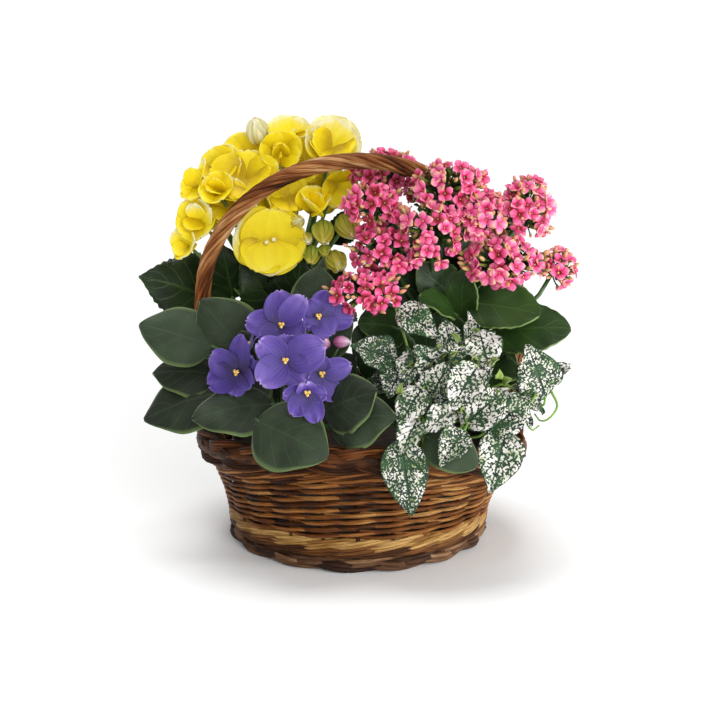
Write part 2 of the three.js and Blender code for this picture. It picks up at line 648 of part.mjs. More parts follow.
const BEGONIA_LEAVES = [
  { base: vec(-108, 36, 165), tip: vec(-159, 24, 184), width: 62, face: vec(-0.3, -0.7, 0.6) },
  { base: vec(-92, 34, 166), tip: vec(-98, 20, 209), width: 46, face: vec(0, -0.85, 0.5) },
  { base: vec(-60, 30, 160), tip: vec(-85, 18, 198), width: 46, face: vec(0, -0.85, 0.5) },
  { base: vec(-48, 28, 160), tip: vec(-40, 15, 201), width: 46, face: vec(0.1, -0.9, 0.4) },
  { base: vec(-19, 34, 207), tip: vec(-3, 28, 237), width: 24, face: vec(0.3, -0.9, 0.2) },
  { base: vec(-76, 62, 160), tip: vec(-112, 84, 186), width: 60, face: vec(-0.4, 0.6, 0.7) },
  { base: vec(-34, 74, 160), tip: vec(-22, 106, 188), width: 58, face: vec(0, 0.5, 0.85) },
  { base: vec(-56, 80, 120), tip: vec(-62, 118, 122), width: 54, face: vec(0, 0.3, 0.95) },
];

function begoniaBloom({ centre, facing, reach, form, twin }) {
  const bowls = BEGONIA_FORMS[form].map((bowl) => corolla(centre, facing, {
    ...bowl, reach: reach * bowl.reach,
  }));
  return twin ? [...bowls, ...begoniaBloom(twin)] : bowls;
}

function begoniaFoliage() {
  const geometries = [rod(BEGONIA_TRUNK, (share) => lerp(5, 3.5, share), 6, 1)];
  for (const shape of BEGONIA_LEAVES) {
    const root = BEGONIA_TRUNK.getPoint(Math.min(0.95, (shape.base.z - 75) / 118));
    geometries.push(leaf({
      root, outline: 'heart', rows: 8, teeth: 0.18, arch: 4, cup: -3, stalkRadius: 2.2, ...shape,
    }));
  }
  const heads = [...BEGONIA_BLOOMS, ...BEGONIA_BUDS];
  heads.forEach(({ centre, radii }, i) => {
    const root = BEGONIA_TRUNK.getPoint(lerp(0.6, 0.97, i / heads.length));
    geometries.push(stalk(root, centre, 1.8, { past: radii ? 0 : 8 }));
    if (radii) geometries.push(lump(centre, radii, 5, 4));
  });
  return geometries;
}

BEGONIA_BLOOMS.forEach((bloom, i) => piece(`begonia_bloom_${i + 1}`, BEGONIA_PETAL, begoniaBloom(bloom)));

// ---------------------------------------------------------------- kalanchoe

const KALANCHOE_TRUNK = new THREE.LineCurve3(vec(50, 40, 50), vec(56, 22, 170));
const FLORET_RADIUS = 7.4;
const HEAD_CORE = 0.6;           // size of a head's core, as a share of the head's
const GOLDEN_ANGLE = degToRad(137.5);

// Heads: centre, half sizes, how many florets, which way the head looks, and, where its stalk
// goes round the handle, by way of where.
const KALANCHOE_HEADS = [
  { centre: vec(62, -28, 261), radii: vec(24, 14, 14), florets: 9, facing: vec(0.1, -0.6, 0.75) },
  { centre: vec(20, 27, 258), radii: vec(24, 13, 17), florets: 9, facing: vec(0, -0.5, 0.8) },
  { centre: vec(117, -22, 241), radii: vec(17, 16, 22), florets: 10, facing: vec(0.3, -0.6, 0.7) },
  { centre: vec(86, -31, 238), radii: vec(16, 15, 17), florets: 8, facing: vec(-0.1, -0.8, 0.5) },
  { centre: vec(51, -38, 229), radii: vec(22, 18, 23), florets: 12, facing: vec(0, -0.8, 0.5) },
  { centre: vec(11, -28, 246), radii: vec(21, 14, 13), florets: 9, facing: vec(-0.2, -0.7, 0.7) },
  { centre: vec(18, -34, 214), radii: vec(26, 15, 17), florets: 11, facing: vec(-0.2, -0.8, 0.5) },
  { centre: vec(5, -48, 189), radii: vec(26, 14, 13), florets: 9, facing: vec(-0.2, -0.85, 0.3) },
  { centre: vec(101, -38, 207), radii: vec(29, 15, 15), florets: 11, facing: vec(0.1, -0.85, 0.4) },
  {
    centre: vec(142, -20, 199), radii: vec(11, 11, 15), florets: 6, facing: vec(0.7, -0.4, 0.6),
    via: vec(110, -50, 150),
  },
  { centre: vec(58, 44, 240), radii: vec(24, 18, 17), florets: 7, facing: vec(0, 0.6, 0.8) },
  { centre: vec(100, 36, 222), radii: vec(22, 18, 18), florets: 7, facing: vec(0.4, 0.6, 0.7) },
  { centre: vec(24, 62, 214), radii: vec(20, 14, 15), florets: 5, facing: vec(-0.1, 0.8, 0.6) },
];

const KALANCHOE_LEAVES = [
  { base: vec(80, -18, 174), tip: vec(126, -42, 171), width: 40, face: vec(0, -0.75, 0.65) },
  { base: vec(94, -27, 155), tip: vec(148, -37, 160), width: 40, face: vec(0.1, -0.75, 0.6) },
  { base: vec(68, -18, 166), tip: vec(42, -34, 181), width: 26, face: vec(-0.2, -0.6, 0.8) },
  { base: vec(66, -2, 178), tip: vec(42, -16, 200), width: 32, face: vec(-0.3, -0.8, 0.4) },
  { base: vec(74, -14, 160), tip: vec(76, -22, 200), width: 26, face: vec(-0.4, -0.8, 0.2) },
  { base: vec(60, -4, 214), tip: vec(74, -8, 244), width: 24, face: vec(0.2, -0.9, 0.3) },
  { base: vec(78, -20, 122), tip: vec(116, -38, 124), width: 36, face: vec(0, -0.6, 0.8) },
  { base: vec(32, -18, 154), tip: vec(0, -32, 162), width: 36, face: vec(-0.2, -0.7, 0.6) },
  { base: vec(80, 62, 150), tip: vec(116, 84, 158), width: 46, face: vec(0.3, 0.5, 0.8) },
  { base: vec(48, 74, 150), tip: vec(44, 112, 160), width: 46, face: vec(0, 0.4, 0.9) },
  { base: vec(62, 66, 186), tip: vec(72, 96, 200), width: 38, face: vec(0.1, 0.6, 0.8) },
];

// A floret: a cone whose rim is drawn out into four petals, and whose point sinks in the head.
// The backs of the petals are flat, so that only a four-sided stalk goes down to the point.
function floret(at, outward, depth, spin) {
  const { forward, right, up } = flowerAxes(outward);
  const cone = new THREE.ConeGeometry(1, 1, 8, 1);
  const faces = cone.index.array;
  const RIM_START = 9;
  for (let tip = 0; tip < 8; tip += 2) {
    const before = RIM_START + (tip + 7) % 8;
    const after = RIM_START + tip + 1;
    faces.set([before, RIM_START + tip, after], (tip + 7) % 8 * 3);
    faces.set([before, after, tip + 1], tip * 3);
  }
  return warp(cone, (vertex) => {
    const angle = Math.atan2(vertex.z, vertex.x);
    const petal = 0.5 + 0.5 * Math.cos(4 * angle);
    const out = Math.hypot(vertex.x, vertex.z);
    const reach = out * FLORET_RADIUS * lerp(0.42, 1, petal);
    const fold = out > 0.5 ? (1 - petal) * 1.4 : -0.4;
    return at.clone()
      .addScaledVector(right, Math.cos(angle + spin) * reach)
      .addScaledVector(up, Math.sin(angle + spin) * reach)
      .addScaledVector(forward, -(vertex.y + 0.5) * depth - fold);
  });
}

// Spreads florets evenly over the side of the head that looks out, round a smaller core.
function kalanchoeHead({ centre, radii, florets, facing }, seed) {
  const random = randomSource(seed);
  const { forward, right, up } = flowerAxes(facing);
  const geometries = [lump(centre, radii.clone().multiplyScalar(HEAD_CORE), 4, 3)];
  for (let i = 0; i < florets; i++) {
    const lean = Math.acos(lerp(1, -0.35, (i + 0.5) / florets));
    const turn = i * GOLDEN_ANGLE + random();
    const outward = forward.clone().multiplyScalar(Math.cos(lean))
      .addScaledVector(right, Math.sin(lean) * Math.cos(turn))
      .addScaledVector(up, Math.sin(lean) * Math.sin(turn));
    const at = centre.clone().add(outward.clone().multiply(radii));
    const depth = at.distanceTo(centre) * (1 - 0.85 * HEAD_CORE) + 4;
    geometries.push(floret(at, at.clone().sub(centre), depth, random() * Math.PI));
  }
  return geometries;
}

function kalanchoeFoliage() {
  const geometries = [rod(KALANCHOE_TRUNK, (share) => lerp(5.5, 4, share), 6, 1)];
  for (const shape of KALANCHOE_LEAVES) {
    const root = KALANCHOE_TRUNK.getPoint(Math.min(0.95, (shape.base.z - 75) / 118));
    geometries.push(leaf({ root, rows: 8, teeth: 0.11, arch: 3, cup: 2, stalkRadius: 2.2, ...shape }));
  }
  KALANCHOE_HEADS.forEach(({ centre, via }, i) => {
    const root = KALANCHOE_TRUNK.getPoint(lerp(0.5, 0.95, i / KALANCHOE_HEADS.length));
    geometries.push(stalk(root, centre, 2, { via }));
  });
  return geometries;
}

KALANCHOE_HEADS.forEach((head, i) => piece(
  `kalanchoe_head_${i + 1}`, KALANCHOE_PETAL, kalanchoeHead(head, i + 1),
));

// ---------------------------------------------------------------- polka dot plant

// Leafy stems: where each leaves the soil, where it ends, and its leaves.
const POLKA_STEMS = [
  {
    root: vec(42, -44, 54), end: vec(34, -58, 150), leaves: [
      { base: vec(28, -50, 178), tip: vec(54, -64, 160), width: 27, face: vec(-0.2, -0.75, 0.6) },
      { base: vec(27, -66, 144), tip: vec(-5, -72, 157), width: 30, face: vec(-0.2, -0.75, 0.6) },
      { base: vec(31, -70, 138), tip: vec(20, -86, 124), width: 28, face: vec(-0.3, -0.8, 0.4) },
      { base: vec(40, -66, 151), tip: vec(31, -84, 132), width: 24, face: vec(-0.3, -0.8, 0.4) },
      { base: vec(26, -46, 124), tip: vec(4, -58, 118), width: 26, face: vec(-0.3, -0.5, 0.8) },
    ],
  },
  {
    root: vec(60, -36, 54), end: vec(66, -48, 146), leaves: [
      { base: vec(64, -56, 149), tip: vec(59, -52, 171), width: 22, face: vec(0, -0.95, 0.2) },
      { base: vec(74, -50, 148), tip: vec(76, -48, 175), width: 15, face: vec(0.3, -0.9, 0.1) },
      { base: vec(52, -72, 143), tip: vec(38, -88, 160), width: 27, face: vec(-0.2, -0.9, 0.4) },
      { base: vec(83, -58, 163), tip: vec(89, -82, 140), width: 30, face: vec(0, -0.9, 0.45) },
    ],
  },
  {
    root: vec(44, -60, 54), end: vec(44, -88, 118), leaves: [
      { base: vec(44, -86, 131), tip: vec(27, -102, 107), width: 26, face: vec(-0.3, -0.9, 0.3) },
      { base: vec(63, -94, 118), tip: vec(44, -108, 105), width: 22, face: vec(-0.1, -0.85, 0.5) },
      { base: vec(40, -99, 112), tip: vec(29, -114, 92), width: 22, face: vec(-0.3, -0.9, 0.3) },
      { base: vec(28, -107, 102), tip: vec(36, -121, 52), width: 38, face: vec(0, -0.97, 0.2) },
    ],
  },
  {
    root: vec(56, -56, 54), end: vec(66, -84, 126), leaves: [
      { base: vec(50, -80, 121), tip: vec(62, -92, 151), width: 30, face: vec(-0.3, -0.9, 0.3) },
      { base: vec(81, -82, 145), tip: vec(61, -105, 119), width: 30, face: vec(0, -0.8, 0.6) },
      { base: vec(71, -106, 107), tip: vec(54, -121, 87), width: 25, face: vec(-0.1, -0.9, 0.4) },
    ],
  },
  {
    root: vec(64, -44, 54), end: vec(86, -78, 112), leaves: [
      { base: vec(70, -94, 106), tip: vec(102, -88, 131), width: 32, face: vec(-0.2, -0.85, 0.5) },
      { base: vec(86, -92, 101), tip: vec(116, -82, 121), width: 30, face: vec(0.3, -0.8, 0.5) },
      { base: vec(100, -86, 102), tip: vec(88, -109, 64), width: 36, face: vec(0.1, -0.97, 0.25) },
      { base: vec(96, -74, 119), tip: vec(118, -82, 102), width: 24, face: vec(0.4, -0.7, 0.6) },
    ],
  },
  {
    root: vec(70, -32, 54), end: vec(104, -56, 124), leaves: [
      { base: vec(134, -60, 119), tip: vec(114, -66, 156), width: 36, face: vec(0.1, -0.95, 0.2) },
      { base: vec(134, -52, 134), tip: vec(149, -56, 139), width: 11, face: vec(0.3, -0.9, 0.3) },
      { base: vec(106, -60, 124), tip: vec(128, -58, 104), width: 22, face: vec(0.5, -0.6, 0.6) },
      { base: vec(84, -44, 106), tip: vec(112, -36, 94), width: 26, face: vec(0.4, -0.1, 0.9) },
    ],
  },
];

function polkaStem({ root, end, leaves }) {
  const curve = new THREE.QuadraticBezierCurve3(root, vec(root.x, root.y, end.z * 0.8), end);
  const geometries = [rod(curve, (share) => lerp(2.4, 1.7, share), 5, 3)];
  for (const shape of leaves) {
    const share = THREE.MathUtils.clamp((shape.base.z - 85) / (end.z - 54), 0.35, 0.97);
    geometries.push(leaf({
      root: curve.getPoint(share), outline: 'pointed', rows: 5, arch: 2.5, cup: 1.5, stalkRadius: 1.1,
      ...shape,
    }));
  }
  return geometries;
}

piece('violet_side_leaf', VIOLET_LEAF, [leaf(VIOLET_SIDE_LEAF)]);
POLKA_STEMS.forEach((leafy, i) => piece(`polka_stem_${i + 1}`, POLKA_LEAF, polkaStem(leafy)));
piece('violet_foliage', VIOLET_LEAF, violetFoliage());
piece('kalanchoe_foliage', KALANCHOE_LEAF, kalanchoeFoliage());
piece('begonia_foliage', BEGONIA_LEAF, begoniaFoliage());
piece('potting_soil', SOIL, [soil()]);

// ---------------------------------------------------------------- the arrangement

const arrangement = new THREE.Group();

pieces.forEach(({ name, material, solid }, i) => {
  const neighbours = pieces.slice(0, i).map((earlier) => earlier.room);
  const clear = neighbours.length ? solid.subtract(wasm.Manifold.union(neighbours)) : solid;
  const body = largestBody(clear).simplify(SMALLEST_DETAIL);
  const mesh = new THREE.Mesh(toGeometry(body), material);
  mesh.name = name;
  arrangement.add(mesh);
});

export default arrangement;
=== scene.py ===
# %% [markdown]
# # A flower basket, dressed for the camera
# The frame is a set of plain solids: a willow basket with a bow handle, soil, and four plants.
# This file puts the real surfaces on it. Every piece is drawn in millimetres, as its maker would
# measure it, and is shrunk to metres when it is done.
# %% Load the frame
import math
from random import Random

import bmesh
import bpy
from mathutils import Matrix, Vector, noise


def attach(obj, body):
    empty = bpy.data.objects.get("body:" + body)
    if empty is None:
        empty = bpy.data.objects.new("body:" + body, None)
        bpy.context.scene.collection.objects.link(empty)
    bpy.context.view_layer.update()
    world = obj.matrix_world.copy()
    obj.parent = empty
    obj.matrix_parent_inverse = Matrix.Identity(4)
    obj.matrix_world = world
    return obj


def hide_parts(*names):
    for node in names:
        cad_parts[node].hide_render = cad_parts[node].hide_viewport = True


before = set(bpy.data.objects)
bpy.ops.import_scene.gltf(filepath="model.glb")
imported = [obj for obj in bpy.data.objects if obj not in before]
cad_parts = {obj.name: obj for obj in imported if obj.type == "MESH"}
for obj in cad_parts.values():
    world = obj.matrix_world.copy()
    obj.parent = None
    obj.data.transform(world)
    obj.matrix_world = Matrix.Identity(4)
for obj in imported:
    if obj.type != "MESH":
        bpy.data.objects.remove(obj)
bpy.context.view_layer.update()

MM = 0.001

# %% [markdown]
# ## Small tools
# Willow rods and leaves are both sheets to begin with: a rod is a sheet rolled up along a curve,
# and a leaf is a sheet that is cut to an outline and bent. So one flat grid is all that is needed
# to start either, and its own UV map then runs along and across the piece.
# %% Points, curves and grids
TURN = 2 * math.pi
WELD = 1e-4          # mm: vertices closer than this become one
ROD_UV_LENGTH = 100  # mm of rod to one unit of U
BETWEEN = 12         # short steps of a curve between two of the points given
vec = lambda x, y, z: Vector((x, y, z))


def lerp(low, high, share):
    return low + (high - low) * share


def smooth_path(points, steps):
    """Points spread evenly over a curve that passes through the points given."""
    ends = [2 * points[0] - points[1], *points, 2 * points[-1] - points[-2]]
    dense = []
    for a, b, c, d in zip(ends, ends[1:], ends[2:], ends[3:]):
        for k in range(BETWEEN):
            t = k / BETWEEN
            dense.append(0.5 * (2 * b + (c - a) * t + (2 * a - 5 * b + 4 * c - d) * t * t
                                + (3 * b - a - 3 * c + d) * t ** 3))
    dense.append(points[-1].copy())
    lengths = [0.0]
    for before, after in zip(dense, dense[1:]):
        lengths.append(lengths[-1] + (after - before).length)
    path, k = [], 0
    for i in range(steps + 1):
        goal = lengths[-1] * i / steps
        while k < len(dense) - 2 and lengths[k + 1] < goal:
            k += 1
        span = max(lengths[k + 1] - lengths[k], 1e-9)
        path.append(dense[k].lerp(dense[k + 1], min(1, (goal - lengths[k]) / span)))
    return path


def frames_along(path, up):
    """Side and up at each point of a path, turned with it as little as possible."""
    frames = []
    for i in range(len(path)):
        forward = (path[min(i + 1, len(path) - 1)] - path[max(i - 1, 0)]).normalized()
        side = forward.cross(up).normalized()
        up = side.cross(forward)
        frames.append((side, up))
    return frames


def new_piece():
    """An empty mesh whose vertices have a tone, and whose faces have a UV map."""
    bm = bmesh.new()
    bm.verts.layers.float.new("tone")
    bm.loops.layers.uv.new("UVMap")
    return bm


def grid(bm, rows, columns, tone, place, reach=1.0):
    """A sheet of rows x columns faces, whose vertices go where place(u, v, row, column) says.

    Its UV map runs from 0 to reach along the rows, and from 0 to 1 across the columns.
    """
    layer, uv = bm.verts.layers.float["tone"], bm.loops.layers.uv["UVMap"]
    made = bmesh.ops.create_grid(bm, x_segments=rows, y_segments=columns, size=0.5, calc_uvs=True)
    if reach != 1.0:
        for face in {face for vertex in made["verts"] for face in vertex.link_faces}:
            for loop in face.loops:
                loop[uv].uv.x *= reach
    for vertex in made["verts"]:
        u, v = vertex.co.x + 0.5, vertex.co.y + 0.5
        vertex.co = place(u, v, round(u * rows), round(v * columns))
        vertex[layer] = tone
    return made["verts"]


def roll(bm, path, frames, size, tone, sides, rows, reach):
    """A sheet rolled up round a path, with size(u, row) as its radius. V runs round it."""
    def place(u, v, row, column):
        row %= len(path)
        side, above = frames[row]
        turn = column / sides * TURN
        out = size(u, row)
        return path[row] + side * math.cos(turn) * out + above * math.sin(turn) * out

    verts = grid(bm, rows, sides, tone, place, reach)
    bmesh.ops.remove_doubles(bm, verts=verts, dist=WELD)
    return verts


def rod(bm, path, radius, tone=0.5, sides=6):
    """A rod along a path, with closed ends. radius may be a function of the share of the way."""
    size = radius if callable(radius) else lambda share: radius
    length = sum((b - a).length for a, b in zip(path, path[1:]))
    verts = roll(bm, path, frames_along(path, vec(0.1, 0.2, 1)), lambda u, row: size(u), tone,
                 sides, len(path) - 1, length / ROD_UV_LENGTH)
    open_edges = [e for v in verts if v.is_valid for e in v.link_edges if e.is_boundary]
    bmesh.ops.holes_fill(bm, edges=list(set(open_edges)), sides=sides + 1)


def ring(bm, place, radius, tone, steps):
    """A rod bent round into a ring. radius may be a function of the angle."""
    path = [place(i / steps * TURN) for i in range(steps)]
    frames = frames_along([path[-1], *path, path[0]], vec(0, 0, 1))[1:-1]
    size = radius if callable(radius) else lambda angle: radius
    roll(bm, path, frames, lambda u, row: size(row / steps * TURN), tone, 6, steps, TURN)


def shaped(pattern, numbers):
    """A row of numbers as a list, with three of them as a vector for each v in the pattern."""
    left = iter(numbers)
    return [vec(next(left), next(left), next(left)) if kind == "v" else next(left)
            for kind in pattern]


def table(pattern, text):
    """The rows of a text of numbers. Groups of numbers after a | make a list at a row's end."""
    made = []
    for line in text.strip().split("\n"):
        numbers, *groups = [[float(word) for word in part.split()] for part in line.split("|")]
        made.append(shaped(pattern, numbers) + ([groups] if groups else []))
    return made


# %% [markdown]
# ## Materials
# Plant tissue and bark are never one colour. Each material below starts from the real surface,
# and its pattern follows the piece: the UV map runs along (U) and across (V) a leaf, petal or rod,
# and the number called tone, kept on each vertex, makes every leaf and rod a little different.
# %% Colours and nodes
def colour(code):
    """A sRGB hex code as the linear colour that Blender's sockets hold."""
    parts = [int(code[i:i + 2], 16) / 255 for i in (1, 3, 5)]
    return [p / 12.92 if p <= 0.04045 else ((p + 0.055) / 1.055) ** 2.4 for p in parts] + [1.0]


def socket(sockets, key):
    """The socket of that number or name among those in use, or else the first one."""
    if isinstance(key, int):
        return sockets[key]
    return next(s for s in sockets if s.enabled and key in (None, s.name, s.identifier))


def material(name, settings):
    """A new material with one Principled shader, what adds its nodes, and what covers it."""
    made = bpy.data.materials.new(name)
    made.use_nodes = True
    tree = made.node_tree
    tree.nodes.clear()

    def add(kind, *inputs, **named):
        """Adds a node of a kind, which is its type and, after a space, its operation.

        inputs are for its sockets by number, and named are its properties and its sockets by
        name. A value may also be a colour code, a node, or a node with the name of its output.
        """
        kind, _, operation = kind.partition(" ")
        node = tree.nodes.new("ShaderNode" + kind)
        if operation:
            node.operation = operation
        for key, value in (*enumerate(inputs), *named.items()):
            source, output = value if isinstance(value, tuple) and len(value) == 2 else (value, None)
            if key == "stops":
                ramp = node.color_ramp.elements
                while len(ramp) < len(value):
                    ramp.new(0.5)
                for stop, (position, code) in zip(ramp, value):
                    stop.position, stop.color = position, colour(code)
            elif isinstance(key, str) and hasattr(node, key):
                setattr(node, key, value)
            elif isinstance(source, bpy.types.Node):
                tree.links.new(socket(source.outputs, output), socket(node.inputs, key))
            else:
                value = colour(value) if isinstance(value, str) else value
                socket(node.inputs, key).default_value = value
        return node

    def cover(paint, height, strength, depth):
        """Paints the shader, and roughens it with a height pattern, depth metres deep."""
        bump = add("Bump", Strength=strength, Distance=depth, Height=height)
        for key, source in (("Base Color", paint), ("Normal", bump)):
            tree.links.new(socket(source.outputs, None), shader.inputs[key])
        return made

    shader = add("BsdfPrincipled", **settings)
    add("OutputMaterial", Surface=shader)
    return add, cover


def pattern_inputs(add):
    """What patterns start from: U along the piece, V across it, its tone, and the place."""
    parts = add("SeparateXYZ", add("UVMap", uv_map="UVMap"))
    tone = add("Attribute", attribute_name="tone")
    return (parts, "X"), (parts, "Y"), (tone, "Fac"), (add("TexCoord"), "Object")


# %% [markdown]
# Willow rod is a young shoot of willow, boiled and peeled, which stains it from straw to dark
# brown. Its surface is smooth, slightly waxy, and finely streaked along the rod. The streaks are
# a noise that is stretched along U; V is turned into a circle, so that no seam shows. The rods
# on the basket's front right are painted lighter, by their place on the basket: painted light,
# as from a lamp on that side.
# %% Willow
STREAKS = [(0.3, "#5c4636"), (0.62, "#ffffff")]
# The way that the painted light on the willow comes from: the front right.
PAINTED_LIGHT_SIDE = (0.94, -0.34, 0.0)


def willow(name, stops, roughness, patchy=1.6):
    add, cover = material(name, {"Roughness": roughness, "Specular IOR Level": 0.12})
    u, v, tone, spot = pattern_inputs(add)
    turn = add("Math MULTIPLY", v, TURN)
    along = add("Math ADD", u, add("Math MULTIPLY", tone, 137.0))
    place = add("CombineXYZ", along, add("Math COSINE", turn), add("Math SINE", turn))
    stretch = add("VectorMath MULTIPLY", place, (3.0, 1.0, 1.0))
    squeeze = add("VectorMath MULTIPLY", place, (3.2, 0.15, 0.15))
    streaks = add("TexNoise", Vector=stretch, Scale=2.6, Detail=5.0, Roughness=0.65)
    patches = add("TexNoise", Vector=squeeze, Scale=1.0, Detail=2.0)
    base = add("Math MULTIPLY_ADD", patches, patchy, -patchy / 2)
    # Painted light: rods on the side that faces the front right get a higher tone.
    facing_painted_light = add("VectorMath DOT_PRODUCT", spot, PAINTED_LIGHT_SIDE)
    painted_side_light = add("MapRange", (facing_painted_light, "Value"), 0.035, 0.1, 0.0, 0.26)
    shade = add("Math ADD", tone, add("Math ADD", base, painted_side_light))
    body = add("ValToRGB", stops=stops, Fac=shade)
    dark = add("ValToRGB", stops=STREAKS, Fac=streaks)
    paint = add("Mix", data_type="RGBA", blend_type="MULTIPLY", Factor=1.0, A=body, B=dark)
    return cover(paint, streaks, 0.3, 0.0004)


WILLOW = willow("boiled_willow_rod",
                [(0.0, "#361c0a"), (0.35, "#70401c"), (0.7, "#9c6430"), (1.0, "#c09054")], 0.5)
WILLOW_DARK = willow("weathered_willow_rod",
                     [(0.0, "#38241a"), (0.4, "#6a4a34"), (0.75, "#987454"), (1.0, "#c0a080")],
                     0.6, 1.1)
WILLOW_GOLD = willow("straw_coloured_willow_rod",
                     [(0.0, "#4c2c12"), (0.4, "#80522a"), (0.75, "#aa7e40"), (1.0, "#caa262")],
                     0.5, 0.9)
WILLOW_RED = willow("red_brown_willow_rod",
                    [(0.0, "#3a1a0a"), (0.4, "#90532a"), (0.75, "#c48850"), (1.0, "#e2b888")], 0.45)

# %% [markdown]
# A leaf blade is a skin over soft green tissue, and veins run through it from the midrib. The
# veins are drawn from the UV map: the distance from the midrib, |V - 0.5|, bends the wave of the
# side veins towards the tip. The rim is where that distance ends; the lighter green there is a
# painted highlight, the light that catches the leaf's edge.
# %% Leaves
def leaf_veins(add, u, v, count, slope, side, rib):
    """The distance from the midrib, and the veins. side and rib are ranges, from and to."""
    away = add("Math ABSOLUTE", add("Math SUBTRACT", v, 0.5))
    phase = add("Math MULTIPLY", add("Math MULTIPLY_ADD", away, slope, u), count * TURN)
    side_veins = add("MapRange", add("Math COSINE", phase), *side)
    return away, add("Math MAXIMUM", side_veins, add("MapRange", away, *rib))


def leaf_skin(name, dark, light, vein, rim_highlight, settings, vein_count, vein_strength, rim_start,
              depth=0.0006):
    add, cover = material(name, settings)
    u, v, tone, spot = pattern_inputs(add)
    away, veins = leaf_veins(add, u, v, vein_count, -0.75, (0.9, 1.0, 0.0, 0.75), (0.028, 0.006))
    clouds = add("TexNoise", Vector=spot, Scale=60.0, Detail=4.0)
    mottle = add("Math MULTIPLY_ADD", clouds, 0.8, -0.4)
    shade = add("Math ADD", tone, mottle, use_clamp=True)
    blade = add("ValToRGB", stops=[(0.1, dark), (0.9, light)], Fac=shade)
    strength = add("Math MULTIPLY", veins, vein_strength)
    veined = add("Mix", data_type="RGBA", Factor=strength, A=blade, B=vein)
    # Painted highlight: a lighter green along the rim.
    rim_light_mask = add("MapRange", away, rim_start, 0.5, 0.0, 0.8)
    paint = add("Mix", data_type="RGBA", Factor=rim_light_mask, A=veined, B=rim_highlight)
    pores = add("TexNoise", Vector=spot, Scale=900.0, Detail=2.0)
    return cover(paint, add("Math MULTIPLY_ADD", veins, -0.8, pores), 0.5, depth)


VIOLET_LEAF = leaf_skin(
    "hairy_violet_leaf", "#141f0c", "#405238", "#4c6038", "#6a8048",
    {"Roughness": 0.6, "Sheen Weight": 0.15, "Sheen Roughness": 0.4, "Specular IOR Level": 0.3},
    vein_count=5, vein_strength=0.14, rim_start=0.43)
BEGONIA_LEAF = leaf_skin(
    "shiny_begonia_leaf", "#0e1d08", "#2b4314", "#425e24", "#48682a",
    {"Roughness": 0.4, "Specular IOR Level": 0.25},
    vein_count=5, vein_strength=0.35, rim_start=0.49)
KALANCHOE_LEAF = leaf_skin(
    "waxy_kalanchoe_leaf", "#182f0b", "#3e5c26", "#567434", "#7a9450",
    {"Roughness": 0.42, "Specular IOR Level": 0.35},
    vein_count=3, vein_strength=0.18, rim_start=0.485, depth=0.0003)
SHOOT_LEAF = leaf_skin(
    "pale_green_shoot", "#3c5c22", "#88a04c", "#a4b46c", "#a0b070",
    {"Roughness": 0.5, "Specular IOR Level": 0.3},
    vein_count=4, vein_strength=0.2, rim_start=0.47)

# %% [markdown]
# The polka dot plant's leaf is white where its upper cells hold no green. It is dark green
# round its veins, at its rim and in small angular freckles. Two noises are cut off sharply: a
# fine one for the freckles, which are 1 to 2 mm wide and finer on leaves of a high tone, and a
# broad one that lets them crowd or thin out, and turns the white dull where they crowd.
# %% Speckled leaf
def speckled_leaf():
    add, cover = material("speckled_polka_dot_leaf", {"Roughness": 0.55, "Specular IOR Level": 0.35})
    u, v, tone, spot = pattern_inputs(add)
    away, ribs = leaf_veins(add, u, v, 6, -0.8, (0.86, 1.0, 0.0, 0.2), (0.04, 0.0, 0.0, 0.35))
    veins = add("Math MAXIMUM", ribs, add("MapRange", away, 0.46, 0.5, 0.0, 0.14))
    fine = add("Math MULTIPLY_ADD", tone, 330.0, 470.0)
    freckles = add("TexNoise", Vector=spot, Scale=fine, Detail=1.5)
    crowd = add("TexNoise", Vector=spot, Scale=110.0, Detail=1.0)
    crowded = add("Math MULTIPLY_ADD", crowd, 0.35, freckles)
    level = add("Math ADD", add("Math MULTIPLY_ADD", tone, 0.11, crowded), veins)
    dull = add("Math MULTIPLY_ADD", tone, 0.2, crowd)
    white = add("ValToRGB", stops=[(0.42, "#e4e0da"), (0.64, "#c6c8b4"), (0.8, "#8c9a6a")], Fac=dull)
    green = add("ValToRGB", stops=[(0.35, "#10281e"), (0.7, "#27482a")], Fac=crowd)
    mask = add("MapRange", level, 0.708, 0.74)
    paint = add("Mix", data_type="RGBA", Factor=mask, A=white, B=green)
    return cover(paint, add("Math MULTIPLY_ADD", veins, -2.0, crowd), 0.5, 0.001)


POLKA_LEAF = speckled_leaf()

# %% [markdown]
# A petal is thin, soft and a little see-through, so light spreads inside it. Its colour changes
# from the throat (U = 0) to the rim (U = 1), and fine veins run along it.
# %% Petals
def petal_skin(name, stops, settings, vein_count, vein_dark="#d8d8d8"):
    add, cover = material(name, {"Roughness": 0.5, **settings})
    u, v, tone, spot = pattern_inputs(add)
    clouds = add("TexNoise", Vector=spot, Scale=120.0, Detail=3.0)
    moved = add("Math MULTIPLY_ADD", tone, 0.5, add("Math MULTIPLY_ADD", clouds, 0.3, u))
    shade = add("Math SUBTRACT", moved, 0.4, use_clamp=True)
    body = add("ValToRGB", stops=stops, Fac=shade)
    wave = add("Math COSINE", add("Math MULTIPLY", v, vein_count * TURN))
    veins = add("MapRange", wave, 0.5, 1.0, 0.0, 0.35)
    paint = add("Mix", data_type="RGBA", blend_type="MULTIPLY", Factor=veins, A=body, B=vein_dark)
    return cover(paint, wave, 0.2, 0.0004)
